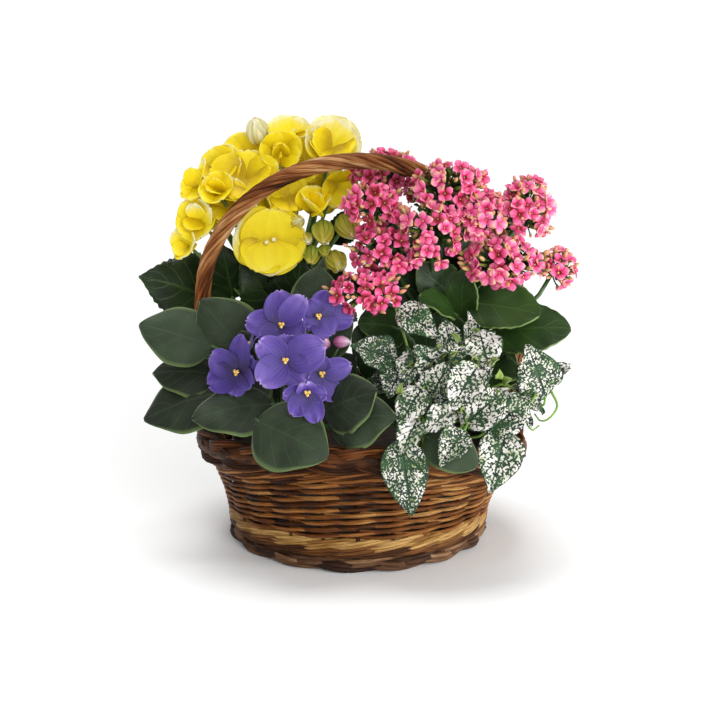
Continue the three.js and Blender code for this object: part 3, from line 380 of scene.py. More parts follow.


# The near-black throat and the pale rim are partly the petal's own colour and partly painted: shade
# deep in the throat, a highlight on the rim.
VIOLET_PETAL = petal_skin(
    "velvety_violet_petal",
    [(0.0, "#200a48"), (0.25, "#361f76"), (0.6, "#543c94"), (0.88, "#7058aa"), (1.0, "#9c86c8")],
    {"Roughness": 0.55, "Sheen Weight": 0.3, "Sheen Roughness": 0.35, "Subsurface Weight": 0.1,
     "Subsurface Radius": (1.0, 0.7, 1.2), "Subsurface Scale": 0.002}, 9)
BEGONIA_PETAL = petal_skin(
    "waxy_begonia_petal",
    [(0.0, "#bc9c04"), (0.3, "#eed208"), (0.68, "#f8e22a"), (0.9, "#f4e470"), (1.0, "#f2ebb4")],
    {"Specular IOR Level": 0.2, "Subsurface Weight": 0.15, "Subsurface Radius": (1.0, 0.9, 0.2),
     "Subsurface Scale": 0.004}, 5, "#fff0b8")
FLORET_FRONT = petal_skin(
    "satin_kalanchoe_petal",
    [(0.0, "#9c2634"), (0.2, "#dc3c74"), (0.55, "#f0649c"), (0.8, "#f68cac"), (1.0, "#f8b894")],
    {"Subsurface Weight": 0.15, "Subsurface Radius": (1.0, 0.4, 0.5), "Subsurface Scale": 0.002}, 3)
FLORET_BACK = petal_skin(
    "salmon_petal_back", [(0.0, "#b09850"), (0.3, "#d89468"), (0.7, "#ea9080"), (1.0, "#f2a8a0")],
    {"Roughness": 0.55}, 3)
BUD_SKIN = petal_skin(
    "salmon_kalanchoe_bud",
    [(0.0, "#6f8030"), (0.4, "#b8985a"), (0.75, "#dd9a78"), (1.0, "#e06a70")], {}, 4)
BEGONIA_BUD = petal_skin(
    "green_yellow_begonia_bud",
    [(0.0, "#7f9432"), (0.35, "#b8b23e"), (0.7, "#dccb58"), (1.0, "#f2ecc8")],
    {"Specular IOR Level": 0.25, "Subsurface Weight": 0.2, "Subsurface Scale": 0.003}, 4)
VIOLET_BUD = petal_skin(
    "pink_and_white_violet_bud",
    [(0.0, "#6a1846"), (0.4, "#b05a8c"), (0.8, "#dcb4cc"), (1.0, "#f4e8f0")], {}, 6, "#a03a78")

# %% [markdown]
# Stems are smooth, juicy and greener than the leaves. Anthers are powdery, and soil is dark,
# crumbly and damp; they need only a noise for their colour and bump.
# %% Stems, anthers, soil and film
def mottled(name, stops, scale, roughness, depth):
    add, cover = material(name, {"Roughness": roughness})
    spot = (add("TexCoord"), "Object")
    clouds = add("TexNoise", Vector=spot, Scale=scale, Detail=6.0, Roughness=0.6)
    return cover(add("ValToRGB", stops=stops, Fac=clouds), clouds, 0.6, depth)


def stem_skin(name, dark, light, roughness):
    return mottled(name, [(0.3, dark), (0.7, light)], 150, roughness, depth=0.0003)


GREEN_STEM = stem_skin("juicy_green_stem", "#3f5c24", "#6f8f40", 0.42)
DARK_STEM = stem_skin("dark_green_stem", "#1f3a16", "#3f6028", 0.42)
PALE_STEM = stem_skin("pale_green_stem", "#5a8a2c", "#8fb04c", 0.45)
ANTHER = mottled("powdery_anther", [(0.38, "#a8641c"), (0.5, "#e4b848"), (0.65, "#f8ecb0")],
                 900, 0.7, depth=0.0004)
SOIL = mottled("damp_potting_soil", [(0.3, "#120b07"), (0.55, "#33241a"), (0.8, "#5a4430")],
               260, 0.95, depth=0.003)
FILM = mottled("dark_polythene_film", [(0.3, "#1d1d1b"), (0.7, "#3a3a36")], 60, 0.4, depth=0.0006)
FLOOR = mottled("white_studio_paper", [(0.0, "#ffffff"), (1.0, "#fcfcfc")], 3, 0.9, depth=0.0)
print("materials:", len(bpy.data.materials))

# %% [markdown]
# ## Finishing a piece
# A finished piece sits at the origin in metres, rides on the frame's one body, and stands for
# the plain solids that it covers. Sheets get their thickness from a Solidify modifier, and
# Subdivision rounds what the camera comes close to.
# %% Finish
def finish(bm, name, materials, nodes=(), thick=0.0, rounding=0, two_sided=False):
    """Makes the piece. With two_sided, its second material is on its back."""
    bmesh.ops.scale(bm, vec=(MM, MM, MM), verts=bm.verts)
    mesh = bpy.data.meshes.new(name)
    bm.to_mesh(mesh)
    bm.free()
    for skin in materials:
        mesh.materials.append(skin)
    mesh.polygons.foreach_set("use_smooth", [True] * len(mesh.polygons))
    piece = bpy.data.objects.new(name, mesh)
    bpy.context.scene.collection.objects.link(piece)
    if rounding:
        soft = piece.modifiers.new("Rounding", "SUBSURF")
        soft.levels = soft.render_levels = rounding
    if thick:
        skin = piece.modifiers.new("Thickness", "SOLIDIFY")
        skin.thickness = thick * MM
        skin.offset = -1 if two_sided else 0
        skin.material_offset = 1 if two_sided else 0
    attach(piece, "root")
    if nodes:
        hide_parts(*nodes)
    print(name, len(mesh.polygons), "faces")


# %% [markdown]
# ## The basket's shape
# The basket is round below and grows into an oval at the rim, which dips at the two ends where
# the handle goes in. These few numbers are the frame's own, so the rods lie on its surface.
# %% Basket shape
STAKES = 24
WALL_BOTTOM, WALL_BOTTOM_RADIUS, WALL_FLARE = 11.6, 95.0, 1.9
RIM_HALF_HEIGHT = 10.1
RIM_RADIUS, RIM_END_RADIUS, RIM_LEAN_OUT = 102, 12.7, 2.7   # wider at the ends, most at the right
RIM_HEIGHT, RIM_END_DIP, RIM_LEAN_DOWN = 84.5, 15.5, 3
RIM_INSET = 3                  # how far inside the rim's middle the wall ends


def polar(radius, angle, height):
    return vec(radius * math.cos(angle), radius * math.sin(angle), height)


def rim_radius(angle):
    return RIM_RADIUS + RIM_END_RADIUS * math.cos(angle) ** 2 + RIM_LEAN_OUT * math.cos(angle)


def rim_height(angle):
    return RIM_HEIGHT - RIM_END_DIP * math.cos(angle) ** 2 - RIM_LEAN_DOWN * math.cos(angle)


def wall_point(angle, climb, depth):
    """A point at a share of the way up the wall, and a depth in mm inside its outer surface."""
    top = rim_height(angle) - RIM_HALF_HEIGHT
    radius = lerp(WALL_BOTTOM_RADIUS, rim_radius(angle) - RIM_INSET, max(climb, 0) ** WALL_FLARE)
    radius -= depth
    return polar(radius, angle, lerp(WALL_BOTTOM, top, climb))


# %% [markdown]
# The side wall is woven in nine rows. The six in the middle have three single rods each. A rod
# is a ring that passes in front of one stake and behind the next, so its depth swings with a
# cosine. It is thickest where it is in front, which is where its neighbours are behind. The rows
# above and below are wales, in which thin rods pass in front of two stakes and behind one:
# brown ones under the border and straw-coloured ones above the foot.
# %% Side wall
ROWS, WEAVE_ROWS, WEAVERS = 9, range(2, 8), 3
WEAVE_DEPTH, WEAVE_SWING = 2.4, 1.1  # mm that a rod lies below the surface, and swings from there
WALE_DEPTH, WALE_SWING, WALE_SPREAD = 2.9, 1.3, 2.1
RING_STEPS = STAKES * 6
random = Random(3)
wall = new_piece()
for row in WEAVE_ROWS:
    for k in range(WEAVERS):
        climb = (row + 0.5 + (k - 1) / WEAVERS) / ROWS
        slack, start_at = random.uniform(0.15, 0.35), random.uniform(0, TURN)
        girth = random.uniform(0.9, 1.08)

        def swing(angle):
            return STAKES / 2 * angle + (row + k + 1) * math.pi

        def weaver(angle):
            at = wall_point(angle, climb, WEAVE_DEPTH - WEAVE_SWING * math.cos(swing(angle)))
            at.z += 0.85 * math.sin(swing(angle)) + slack * math.sin(5 * angle + start_at)
            return at

        def size(angle):
            pitch = (rim_height(angle) - RIM_HALF_HEIGHT - WALL_BOTTOM) / ROWS
            return min(1.35, 0.195 * pitch) * girth * (1 + 0.28 * math.cos(swing(angle)))

        ring(wall, weaver, size, random.uniform(0.0, 0.75), RING_STEPS)
finish(wall, "basket_weave", [WILLOW], ["basket_wall"])


def wale(bm, row, rods, lift, tones, size):
    """Three groups of thin rods, each in front of two stakes and behind one."""
    for strand in range(3):
        for k in range(rods):
            aside, start_at = (k - (rods - 1) / 2) * WALE_SPREAD, random.uniform(0, TURN)

            def waler(angle):
                swing = STAKES / 3 * angle + strand * TURN / 3
                at = wall_point(angle, row / ROWS, WALE_DEPTH - WALE_SWING * math.cos(swing))
                at.z += aside + lift * math.sin(swing) + 0.3 * math.sin(7 * angle + start_at)
                return at

            ring(bm, waler, size * random.uniform(0.9, 1.05), random.uniform(*tones), RING_STEPS)


top_wale, low_wale = new_piece(), new_piece()
wale(top_wale, 8.45, rods=3, lift=2.0, tones=(0.1, 0.7), size=1.35)
wale(low_wale, 0.45, rods=2, lift=1.8, tones=(-0.35, 0.35), size=1.5)
wale(low_wale, 1.3, rods=3, lift=2.0, tones=(0.3, 1.1), size=1.4)
finish(top_wale, "basket_top_wale", [WILLOW])
finish(low_wale, "basket_low_wale", [WILLOW_GOLD])

stakes = new_piece()
for stake in range(STAKES):
    angle = stake / STAKES * TURN
    rod(stakes, [wall_point(angle, k / 8, 3.3) for k in range(9)], 1.7, random.uniform(-0.2, 0.2))
finish(stakes, "basket_stakes", [WILLOW])

# %% [markdown]
# The border is a plait of three strands, each of six thin rods, bent over from the stakes. In
# a flat plait, a strand swings across once while it goes in and out twice, and the three are a
# third of a swing apart. The foot is a smaller plait of three strands, each of two thick and
# weathered rods, that the basket stands on. Both have a plain ring for a core.
# %% Border and foot
def plait(bm, centre, swings, half_height, half_depth, rods, spread, size, tones):
    """centre(angle) is the plait's radius and height, and spread is the rods' distance."""
    for strand in range(3):
        for k in range(rods):
            aside = (k - (rods - 1) / 2) * spread
            jitter, start_at = random.uniform(0.1, 0.35), random.uniform(0, TURN)

            def at(angle):
                swing = swings * angle + strand * TURN / 3
                radius, height = centre(angle)
                radius += half_depth * math.sin(2 * swing) + jitter * math.sin(9 * angle + start_at)
                return polar(radius, angle, height + (half_height * math.sin(swing) + aside))

            ring(bm, at, size * random.uniform(0.9, 1.05), random.uniform(*tones), swings * 18)


FOOT_RADIUS = 90.0
border, foot = new_piece(), new_piece()
ring(border, lambda a: polar(rim_radius(a), a, rim_height(a)), 5.4, 0.15, 96)
plait(border, lambda a: (rim_radius(a), rim_height(a)), swings=6, half_height=4.6, half_depth=3.9,
      rods=6, spread=1.95, size=1.3, tones=(-0.5, 0.5))
finish(border, "basket_border_plait", [WILLOW], ["basket_border"])
ring(foot, lambda a: polar(FOOT_RADIUS, a, 5.6), 3.0, 0.0, 72)
plait(foot, lambda a: (FOOT_RADIUS, 5.9), swings=5, half_height=2.3, half_depth=2.5,
      rods=2, spread=3.0, size=1.9, tones=(0.0, 1.0))
finish(foot, "basket_foot_plait", [WILLOW_DARK], ["basket_foot"])

# %% [markdown]
# The handle is a bow of nine rods twisted round a core, like a rope. Every rod runs along the
# same bow, a rod's width out from its middle, and turns round it six times from end to end. Both
# ends thin out and go down inside the border.
# %% Handle
HANDLE_MIDDLE, HALF_SPAN, SPRING, RISE = 1.0, 112.0, 172.0, 100.0
bow = [vec(-94.3, 0, 52), vec(-97.3, 0, 62), vec(-102.8, 0, 74), vec(-107.6, 0, 88),
       vec(-110.3, 0, 108), vec(HANDLE_MIDDLE - HALF_SPAN, 0, 140)]
for degrees in range(180, -1, -15):
    turn = math.radians(degrees)
    bow.append(vec(HANDLE_MIDDLE + HALF_SPAN * math.cos(turn), 0, SPRING + RISE * math.sin(turn)))
bow += [vec(HANDLE_MIDDLE + HALF_SPAN, 0, 140), vec(112.3, 0, 106), vec(110.6, 0, 86),
        vec(106.6, 0, 72), vec(100.8, 0, 60), vec(95.4, 0, 50)]
HANDLE_STEPS, HANDLE_RODS, HANDLE_TURNS = 170, 9, 6
ROD_REACH, ROD_RADIUS, CORE_RADIUS = 4.35, 1.52, 3.4
middle = smooth_path(bow, HANDLE_STEPS)
across = frames_along(middle, vec(0, 1, 0))
handle = new_piece()


def thinned(share):
    return lerp(0.55, 1, min(1, min(share, 1 - share) * 9))


for k in range(HANDLE_RODS):
    phase = k / HANDLE_RODS * TURN
    path = []
    for i, (point, (side, above)) in enumerate(zip(middle, across)):
        share = i / HANDLE_STEPS
        turn = phase - share * HANDLE_TURNS * TURN
        reach = ROD_REACH * thinned(share)
        path.append(point + side * math.cos(turn) * reach + above * math.sin(turn) * reach)
    rod(handle, path, lambda share: ROD_RADIUS * thinned(share), random.uniform(0.15, 0.95), 7)
# The core has the lowest tone and shows only in the grooves between the rods: painted shade.
rod(handle, middle, lambda share: CORE_RADIUS * thinned(share), 0.0, 8)
finish(handle, "basket_handle_rods", [WILLOW_RED], ["basket_handle"])

# %% [markdown]
# ## Leaves
# One function draws every leaf. The blade runs from its base to its tip. Its half width at each
# place along the midrib is the outline; teeth nick the edge, arch lifts its middle, cup lifts its
# sides, and ripple waves the rim. The stalk joins the blade to where it grows from.
# %% Leaf
OUTLINES = {
    "round": lambda t: math.sin(math.pi * t ** 0.8) ** 0.55,
    "broad": lambda t: math.sin(math.pi * t ** 0.76) ** 0.72,
    "pointed": lambda t: math.sin(math.pi * t ** 0.7) ** 0.85,
    "heart": lambda t: math.sin(math.pi * t ** 0.55) ** 0.9,
}


def blade(bm, base, tip, width, face, outline, rows, columns, tone, arch=0.0, cup=0.0, fold=0.0,
          ripple=0.0, teeth=0.0, seed=0.0):
    length = (tip - base).length
    forward = (tip - base).normalized()
    normal = (face - forward * face.dot(forward)).normalized()
    side = forward.cross(normal)
    shape = OUTLINES[outline]

    def place(u, v, row, column):
        across = 2 * v - 1
        wide = max(shape(min(max(u, 0.004), 0.996)), 0.03 if row in (0, rows) else 0)
        nick = 1 + teeth * ((row % 3) - 1) * 0.5 * abs(across) ** 3
        half = wide * width / 2 * nick
        rise = arch * 4 * u * (1 - u) + cup * wide * across ** 2 + fold * wide * abs(across)
        rise += ripple * across ** 2 * math.sin(u * 15 + seed * 9 + (2 if across > 0 else 0))
        rise += 0.25 * ripple * noise.noise(vec(u * 3, across * 2, seed * 7))
        return base + forward * u * length + side * across * half + normal * rise

    grid(bm, rows, columns, tone, place)


def leaf_stalk(bm, root, base, tip, radius):
    forward = (tip - base).normalized()
    reach = (base - root).length
    knee = vec(root.x, root.y, root.z + reach * 0.3)
    neck = base - forward * reach * 0.3
    path = []
    for k in range(9):
        t = k / 8
        path.append(root * (1 - t) ** 3 + knee * 3 * t * (1 - t) ** 2
                    + neck * 3 * t * t * (1 - t) + base * t ** 3)
    path.append(base + forward * 3)
    rod(bm, path, lambda share: radius * lerp(1.1, 0.8, share), 0.5, 5)


def bent(root, middle, end, t):
    """A place on the simple bow from root to end that middle pulls at."""
    return root * (1 - t) ** 2 + middle * 2 * t * (1 - t) + end * t * t


def stem_to(bm, root, end, radius, via=None, steps=6, sides=5, tone=0.5):
    middle = via or root.lerp(end, 0.4) + vec(0, 0, (end - root).length * 0.05)
    path = [bent(root, middle, end, k / steps) for k in range(steps + 1)]
    rod(bm, path, lambda share: radius * lerp(1.15, 0.75, share), tone, sides)


def scatter(*spans):
    """A vector whose numbers are drawn from three spans."""
    return vec(*(random.uniform(*span) for span in spans))


# %% [markdown]
# ## African violet
# Round, thick, hairy leaves on long stalks make a flat rosette round the crown, and the flowers
# stand over its middle. A flower has five or six lobes with ruffled rims, and yellow anthers in
# its throat. One leaf lies apart, over the front of the basket.
# %% Violet leaves
# Each leaf: its base, its tip, its width, the way it faces, and its tone.
CROWN = vec(-50, -50, 74)
# The third leaf lies in shade under the second; its tone of 0 paints it darker, a painted shade.
VIOLET_LEAVES = table("vvnvn", """
-76 -34 141  -110 -26 178  45  -0.3 -0.8 0.5  0.35
-101 -36 147  -153 -28 161  43  -0.2 -0.75 0.6  0.45
-98 -38 126  -144 -34 127  36  -0.2 -0.6 0.75  0
-94 -48 118  -149 -50 98  46  -0.25 -0.7 0.65  0.1
-58 -75 116  -112 -90 110  40  -0.2 -0.7 0.7  0.2
-68 -90 109  -20 -113 91  52  -0.1 -0.8 0.6  0.3
-23 -80 112  13 -96 131  42  0.1 -0.8 0.6  0.1
-18 -84 104  25 -101 116  40  0.2 -0.8 0.6  0.3
-30 -38 168  -28 -22 201  34  0 -0.95 0.3  0.35
-32 -45 147  -4 -42 166  30  0.2 -0.8 0.5  0.3
-70 -52 132  -86 -66 104  38  -0.3 -0.7 0.6  0.3
-84 -30 118  -126 -27 100  32  -0.4 -0.2 0.9  0.2
-50 -48 112  -82 -46 160  40  0 -0.95 0.2  0.05
-38 -46 108  -2 -42 142  40  0 -0.95 0.2  0.05
""")
SIDE_LEAF = table("vvnvn", """
46 -97 100  79 -112 83  32  0 -0.75 0.65  0.6
""")
violet_leaves, violet_stalks = new_piece(), new_piece()
for i, (base, tip, width, face, tone) in enumerate(VIOLET_LEAVES):
    blade(violet_leaves, base, tip, width * 1.04, face, "broad", 14, 10, tone, arch=4, cup=-7,
          fold=3, ripple=1.6, seed=i)
    leaf_stalk(violet_stalks, CROWN, base, tip, 1.9)
for base, tip, width, face, tone in SIDE_LEAF:
    blade(violet_leaves, base, tip, width, face, "round", 14, 10, tone, arch=3, cup=-4, fold=1.5,
          ripple=0.7, seed=20)
    leaf_stalk(violet_stalks, vec(36, -70, 60), base, tip, 1.7)
finish(violet_leaves, "violet_leaves", [VIOLET_LEAF],
       ["violet_foliage", "violet_side_leaf"], thick=1.3, rounding=1)

# %% [markdown]
# A petal is a sheet that narrows to both ends. It leaves the flower's throat at its own turn,
# leans out from the way the flower faces, and waves most at its rim. Three anthers, each a
# small ball, sit close together in the throat.
# %% Violet flowers
# Each flower: its throat, the way it faces, and a turn, length, width and tone a petal.
VIOLET_BLOOMS = table("vv", """
-52 -62 168  -0.05 -0.9 0.4 | -125 19 19 0.5 | -35 18 19 0.55 | 175 24 17 0.6 | 52 25 15 0.95 \
    | 96 24 19 0.5
-28 -56 173  0.35 -0.85 0.3 | -8 25 16 0.6 | -62 16 17 0.6 | 60 19 16 0.45 | 115 13 13 0.4 \
    | 215 11 13 0.5
-48.5 -87 150  0 -0.95 0.3 | -45 19 20 0.6 | 85 17 17 0.5 | 20 28 22 0.7 | 145 22 17 0.8 \
    | 222 23 20 0.85
-81 -75 139  -0.4 -0.85 0.15 | -30 15 14 0.2 | 40 16 14 0.15 | 82 26 14 0.25 | 153 22 17 0.35 \
    | 207 23 18 0.3 | 263 16 16 0.3
-25 -80 139  0.25 -0.95 0.2 | -65 20 14 0.65 | 15 21 14 0.7 | 100 13 13 0.6 | 160 14 14 0.6 \
    | 215 15 13 0.55
-34 -97 131  0.1 -1 0.05 | 105 9 12 1 | -10 13 11 0.5 | 185 16 11 0.5 | -72 21 13 0.45 \
    | 235 18 14 0.4
-72 -60 153  -0.95 -0.05 0.45 | -90 16 16 0.3 | -18 16 16 0.3 | 198 16 16 0.35 | 62 14 14 0.3 \
    | 118 15 14 0.35
""")


def flower_axes(facing):
    forward = facing.normalized()
    right = vec(0, 0, 1).cross(forward).normalized()
    return forward, right, forward.cross(right)


def petal(bm, centre, facing, turn, length, width, open_angle, count, tone, curl, ripple, cup,
          seed, fullness, ruffle=0.0):
    """A petal of count x count faces, at turn degrees round the flower's axis.

    It leans open_angle from that axis, and fullness makes it round (low) or pointed (high).
    """
    forward, right, up = flower_axes(facing)
    spin, lean = math.radians(turn), math.radians(open_angle)
    out = right * math.cos(spin) + up * math.sin(spin)
    side = up * math.cos(spin) - right * math.sin(spin)
    along = out * math.sin(lean) + forward * math.cos(lean)
    lift = forward * math.sin(lean) - out * math.cos(lean)

    def place(u, v, row, column):
        across = 2 * v - 1
        share = math.sin(u * TURN / 4)
        wide = math.sin(math.pi * min(0.995, share ** 0.9)) ** fullness
        reach = share * (1 + ruffle * math.sin(across * 6 + seed * 9) * share)
        wave = math.sin(across * 6 + seed * 5) + math.sin(u * 6 + across * 3 + seed * 11)
        rise = cup * across ** 2 * wide - curl * share ** 2 + ripple * share ** 2 * wave * 0.5
        return centre + along * reach * length + side * across * wide * width / 2 + lift * rise

    grid(bm, count, count, tone, place)


ANTHER_SHAPE = Matrix.Diagonal((1.35, 1.5, 1.3, 1))
violet_petals, anthers = new_piece(), new_piece()
random = Random(11)
for centre, facing, petals in VIOLET_BLOOMS:
    forward, right, up = flower_axes(facing)
    for layer, (turn, length, width, tone) in enumerate(petals):
        petal(violet_petals, centre + forward * 0.35 * layer, facing, turn, length, width * 1.2,
              50 if tone == 1.0 else random.uniform(76, 84), 10, tone,
              curl=random.uniform(0.5, 2.5), ripple=1.9, cup=random.uniform(0.5, 2.0),
              seed=random.random(), fullness=0.36, ruffle=0.035)
    shape = Matrix((right, up, forward)).transposed().to_4x4()
    for k in range(3):
        made = bmesh.ops.create_uvsphere(anthers, u_segments=8, v_segments=6, radius=1.0)["verts"]
        turn = k * TURN / 3 + 0.5
        middle = centre + forward * 3.4 + right * math.cos(turn) * 1.25 + up * math.sin(turn) * 1.25
        bmesh.ops.transform(anthers, verts=made,
                            matrix=Matrix.Translation(middle) @ shape @ ANTHER_SHAPE)
    stem_to(violet_stalks, CROWN + vec(random.uniform(-4, 4), random.uniform(-4, 4), 0), centre, 1.2)
finish(violet_petals, "violet_petals", [VIOLET_PETAL],
       [f"violet_bloom_{k + 1}" for k in range(7)], thick=0.6, rounding=1)
finish(anthers, "violet_anthers", [ANTHER], [f"violet_eye_{k + 1}" for k in range(7)],
       rounding=1)


# %% [markdown]
# A bud is a ball drawn out to a point. The violet's are pink and white, and stand on thin
# stalks of their own; all stalks meet in a short thick crown.
# %% Violet buds and stalks
def bud(bm, centre, radii, tilt, tone, segments):
    """A bud whose long axis, of half length radii[2], points the way of tilt."""
    forward, right, up = flower_axes(tilt)
    layer, uv = bm.verts.layers.float["tone"], bm.loops.layers.uv["UVMap"]
    made = bmesh.ops.create_uvsphere(bm, u_segments=segments, v_segments=segments - 2, radius=1.0,
                                     calc_uvs=True)["verts"]
    for vertex in made:
        height = vertex.co.z
        narrow = 1 - 0.3 * height if height > 0 else 1
        vertex.co = (centre + right * vertex.co.x * radii[0] * narrow
                     + up * vertex.co.y * radii[1] * narrow + forward * height * radii[2])
        vertex[layer] = tone
    for face in {f for v in made for f in v.link_faces}:
        for loop in face.loops:
            u, v = loop[uv].uv
            loop[uv].uv = (v, u)


violet_buds = new_piece()
for centre, tilt, size in ((vec(-22, -60, 155), vec(0.1, -0.6, 0.8), 0.85),
                           (vec(-11, -63, 157), vec(0.9, -0.4, 0.1), 1.1)):
    bud(violet_buds, centre, (4 * size, 4 * size, 5.8 * size), tilt, 0.5, 12)
    stem_to(violet_stalks, CROWN, centre, 1.1)
finish(violet_buds, "violet_buds", [VIOLET_BUD])
stem_to(violet_stalks, vec(-50, -50, 56), vec(-50, -50, 84), 7, steps=3, sides=8)
finish(violet_stalks, "violet_stalks", [DARK_STEM])

# %% [markdown]
# ## Begonia
# The begonia's flowers are layered: broad outer petals, waxy and cupped, round a few smaller
# inner ones. Half-open ones show only their outer petals, closed like hands, and buds have four
# petals wrapped round a ball. The leaves are dark and shiny, with saw-toothed rims.
# %% Begonia flowers
# Each flower: its heart, the way it faces, its reach, and a turn, length, width, lean and tone a
# petal, where length and width are shares of the reach. A high tone is pale.
OPEN_CUP = ("| 40 1 1.5 62 0.5 | 130 1 1.5 66 0.4 | 220 1 1.5 62 0.5 "
            "| 310 1 1.5 64 0.35 | 80 0.7 1 38 0.25 | 250 0.66 1 42 0.2")
HALF_OPEN = "| 90 1.05 1.5 40 0.6 | 205 1 1.5 38 0.45 | 325 1 1.5 40 0.4 | 20 0.8 1 22 0.3"
FAN = ("| 20 1 1.4 74 0.45 | 75 1.15 1.5 72 0.6 | 130 1.1 1.5 74 0.55 "
       "| 185 0.9 1.3 76 0.5 | 250 0.75 1.4 66 0.25 | 310 0.75 1.4 66 0.2")
BEGONIA_BLOOMS = table("vvn", f"""
-63 15 212  0.05 -0.95 0.2  25 | 160 1.04 1.8 86 0.9 | 20 1.02 1.8 85 0.5 | -40 1 1.6 84 0.35 \
    | -120 0.97 1.4 84 0.3
-56 40 270  0 -0.8 0.4  18 | 150 0.95 1.3 66 0.2 | 95 1 1.4 60 0.15 | 40 1.05 1.4 68 0.25 \
    | -10 0.9 1.1 70 0.3 | 200 0.8 1 74 0.35 | 70 0.6 0.8 34 0.1 | 130 0.6 0.8 30 0.05
-19 36 275  0.15 -0.75 0.5  23 | 150 1 1.4 74 1.2 | 100 1.05 1.5 70 1.3 | 52 1.05 1.4 72 1.25 \
    | 8 0.95 1.3 76 1.1 | -60 0.7 1.4 58 0.15 | -125 0.8 1.4 62 0.1 | 170 0.8 1 60 0.2
-80 57 267  -0.2 -0.6 0.7  20 | 90 0.85 1.9 62 0.55 | 25 1 1.5 70 0.6 | 155 1 1.5 70 0.55 \
    | -70 0.7 1.6 60 0.4
-80 31 253  -0.1 -0.75 0.5  26 | 95 0.85 1.8 80 0.5 | 20 1 1.1 80 0.45 | 165 1.05 1.2 78 0.15 \
    | -50 0.7 1.4 66 0.3 | 215 0.9 1.1 78 0.3 | -95 0.8 1.3 76 0.1
-114 31 248  -0.4 -0.6 0.5  17 | 200 0.8 1.2 62 0.3 | 110 0.95 1 36 0.5 | 20 0.8 1.1 50 0.45 \
    | -90 0.9 1.3 66 0.4 | 58 1.35 0.4 52 1
-113 24 226  -0.4 -0.8 0.25  18 | 130 1 1.5 66 0.5 | 220 1 1.5 66 0.35 | 310 1 1.6 66 0.6 \
    | 40 1 1.4 60 1.1 | 95 0.8 0.9 48 1.3 | 255 0.7 1 50 0.15
-121 20 207  -0.5 -0.6 0.4  15 | 150 1.1 1.3 60 0.9 | 20 1.1 1.2 56 1.4 | -60 0.9 1.4 60 0.6 \
    | 230 0.8 1 60 0.5
-93 24 234  -0.2 -0.8 0.5  19 {FAN}
-51 28 240  0.1 -0.8 0.4  17 {FAN}
-33 20 232  0.2 -0.45 0.8  18 {HALF_OPEN}
-16 32 252  0.4 -0.8 -0.3  17 | -90 1.1 1.4 66 0.6 | -30 0.95 1.3 70 0.5 | -150 1 1.3 70 0.4 \
    | 90 0.8 1.3 74 0.3
-50 54 281  0 -0.4 0.9  18 | 60 1 1.4 64 1.2 | 120 1 1.5 60 1.1 | 185 0.9 1.1 76 1 \
    | 0 0.95 1.1 76 1 | -80 0.6 1.3 50 0.6
-68 84 252  -0.15 0.8 0.55  22 {FAN}
-104 62 222  -0.6 0.7 0.3  19 {OPEN_CUP}
-28 78 240  0.2 0.85 0.4  19 {OPEN_CUP}
-99 21 246  -0.3 -0.7 0.6  15 {OPEN_CUP}
-40 44 262  0.1 -0.9 0.2  19 {FAN}
-58 40 236  0 -0.9 0.2  18 {OPEN_CUP}
-28 48 238  0.1 -0.9 0.2  18 {FAN}
-97 42 258  -0.3 -0.7 0.4  17 {FAN}
""")
# Each bud: its middle, its reach, the way it points, and its tone.
BEGONIA_BUDS = table("vnvn", """
-25 10 221  10.5  0.1 -0.5 -0.85  0.3
-8 15 224  12  0.4 -0.5 -0.6  0.6
-33 11 204  8  0 -0.4 -0.9  0.1
-16 6 200  10.5  0.4 -0.6 -0.5  0.6
-72 54 284  12.5  -0.3 -0.2 0.9  1.5
-37 13 215  6  0.3 -0.6 -0.5  0.8
-24 9 207  6  0.2 -0.5 -0.6  0.2
-44 14 226  7  0.5 -0.5 0.3  0.9
""")
TRUNK_FOOT, TRUNK_TOP = vec(-50, 45, 52), vec(-56, 38, 168)

begonia_petals, begonia_stems, begonia_buds = new_piece(), new_piece(), new_piece()
random = Random(5)
for centre, facing, reach, petals in BEGONIA_BLOOMS:
    for layer, (turn, share, broad, lean, tone) in enumerate(petals):
        petal(begonia_petals, centre + facing.normalized() * 0.5 * layer, facing,
              turn + random.uniform(-6, 6), reach * share, reach * broad,
              lean + random.uniform(-3, 3), 9, tone + random.uniform(-0.08, 0.08),
              curl=-0.06 * reach, ripple=0.07 * reach, cup=0.1 * reach, seed=random.random(),
              fullness=0.4, ruffle=0.02)

# The largest flower's upper and lower petals, and the tight inner ones in its heart.
centre, facing = BEGONIA_BLOOMS[0][:2]
forward, right, up = flower_axes(facing)
petal(begonia_petals, centre + forward * 1.5 - up * 15, facing, 88, 38, 45, 86, 14, 0.35,
      curl=-0.5, ripple=0.9, cup=1.5, seed=0.3, fullness=0.46, ruffle=0.01)
petal(begonia_petals, centre + forward * 4 + up * 2, facing, -88, 27, 45, 87, 14, 0.8,
      curl=-1.0, ripple=1.4, cup=1.0, seed=0.7, fullness=0.8, ruffle=0.015)
for k in (-1, 1):
    bud(begonia_buds, centre + forward * 6.5 + right * k * 2.6 + up * k, (2.4, 2.2, 2.0), facing,
        0.75, 8)
for centre, reach, tilt, tone in BEGONIA_BUDS:
    point = tilt.normalized()
    bud(begonia_buds, centre, (0.55 * reach, 0.5 * reach, 0.8 * reach), tilt, tone, 10)
    for k in range(4):
        petal(begonia_buds, centre - point * 0.8 * reach, tilt, k * 90 + 20, 1.75 * reach,
              1.5 * reach, random.uniform(14, 24), 8, tone + random.uniform(-0.15, 0.2),
              curl=-0.42 * reach, ripple=0.08 * reach, cup=-0.1 * reach, seed=random.random(),
              fullness=0.5)
heads = [row[0] for row in (*BEGONIA_BLOOMS, *BEGONIA_BUDS)]
for i, head in enumerate(heads):
    root = TRUNK_FOOT.lerp(TRUNK_TOP, lerp(0.6, 0.97, i / len(heads)))
    stem_to(begonia_stems, root, head, 1.7)


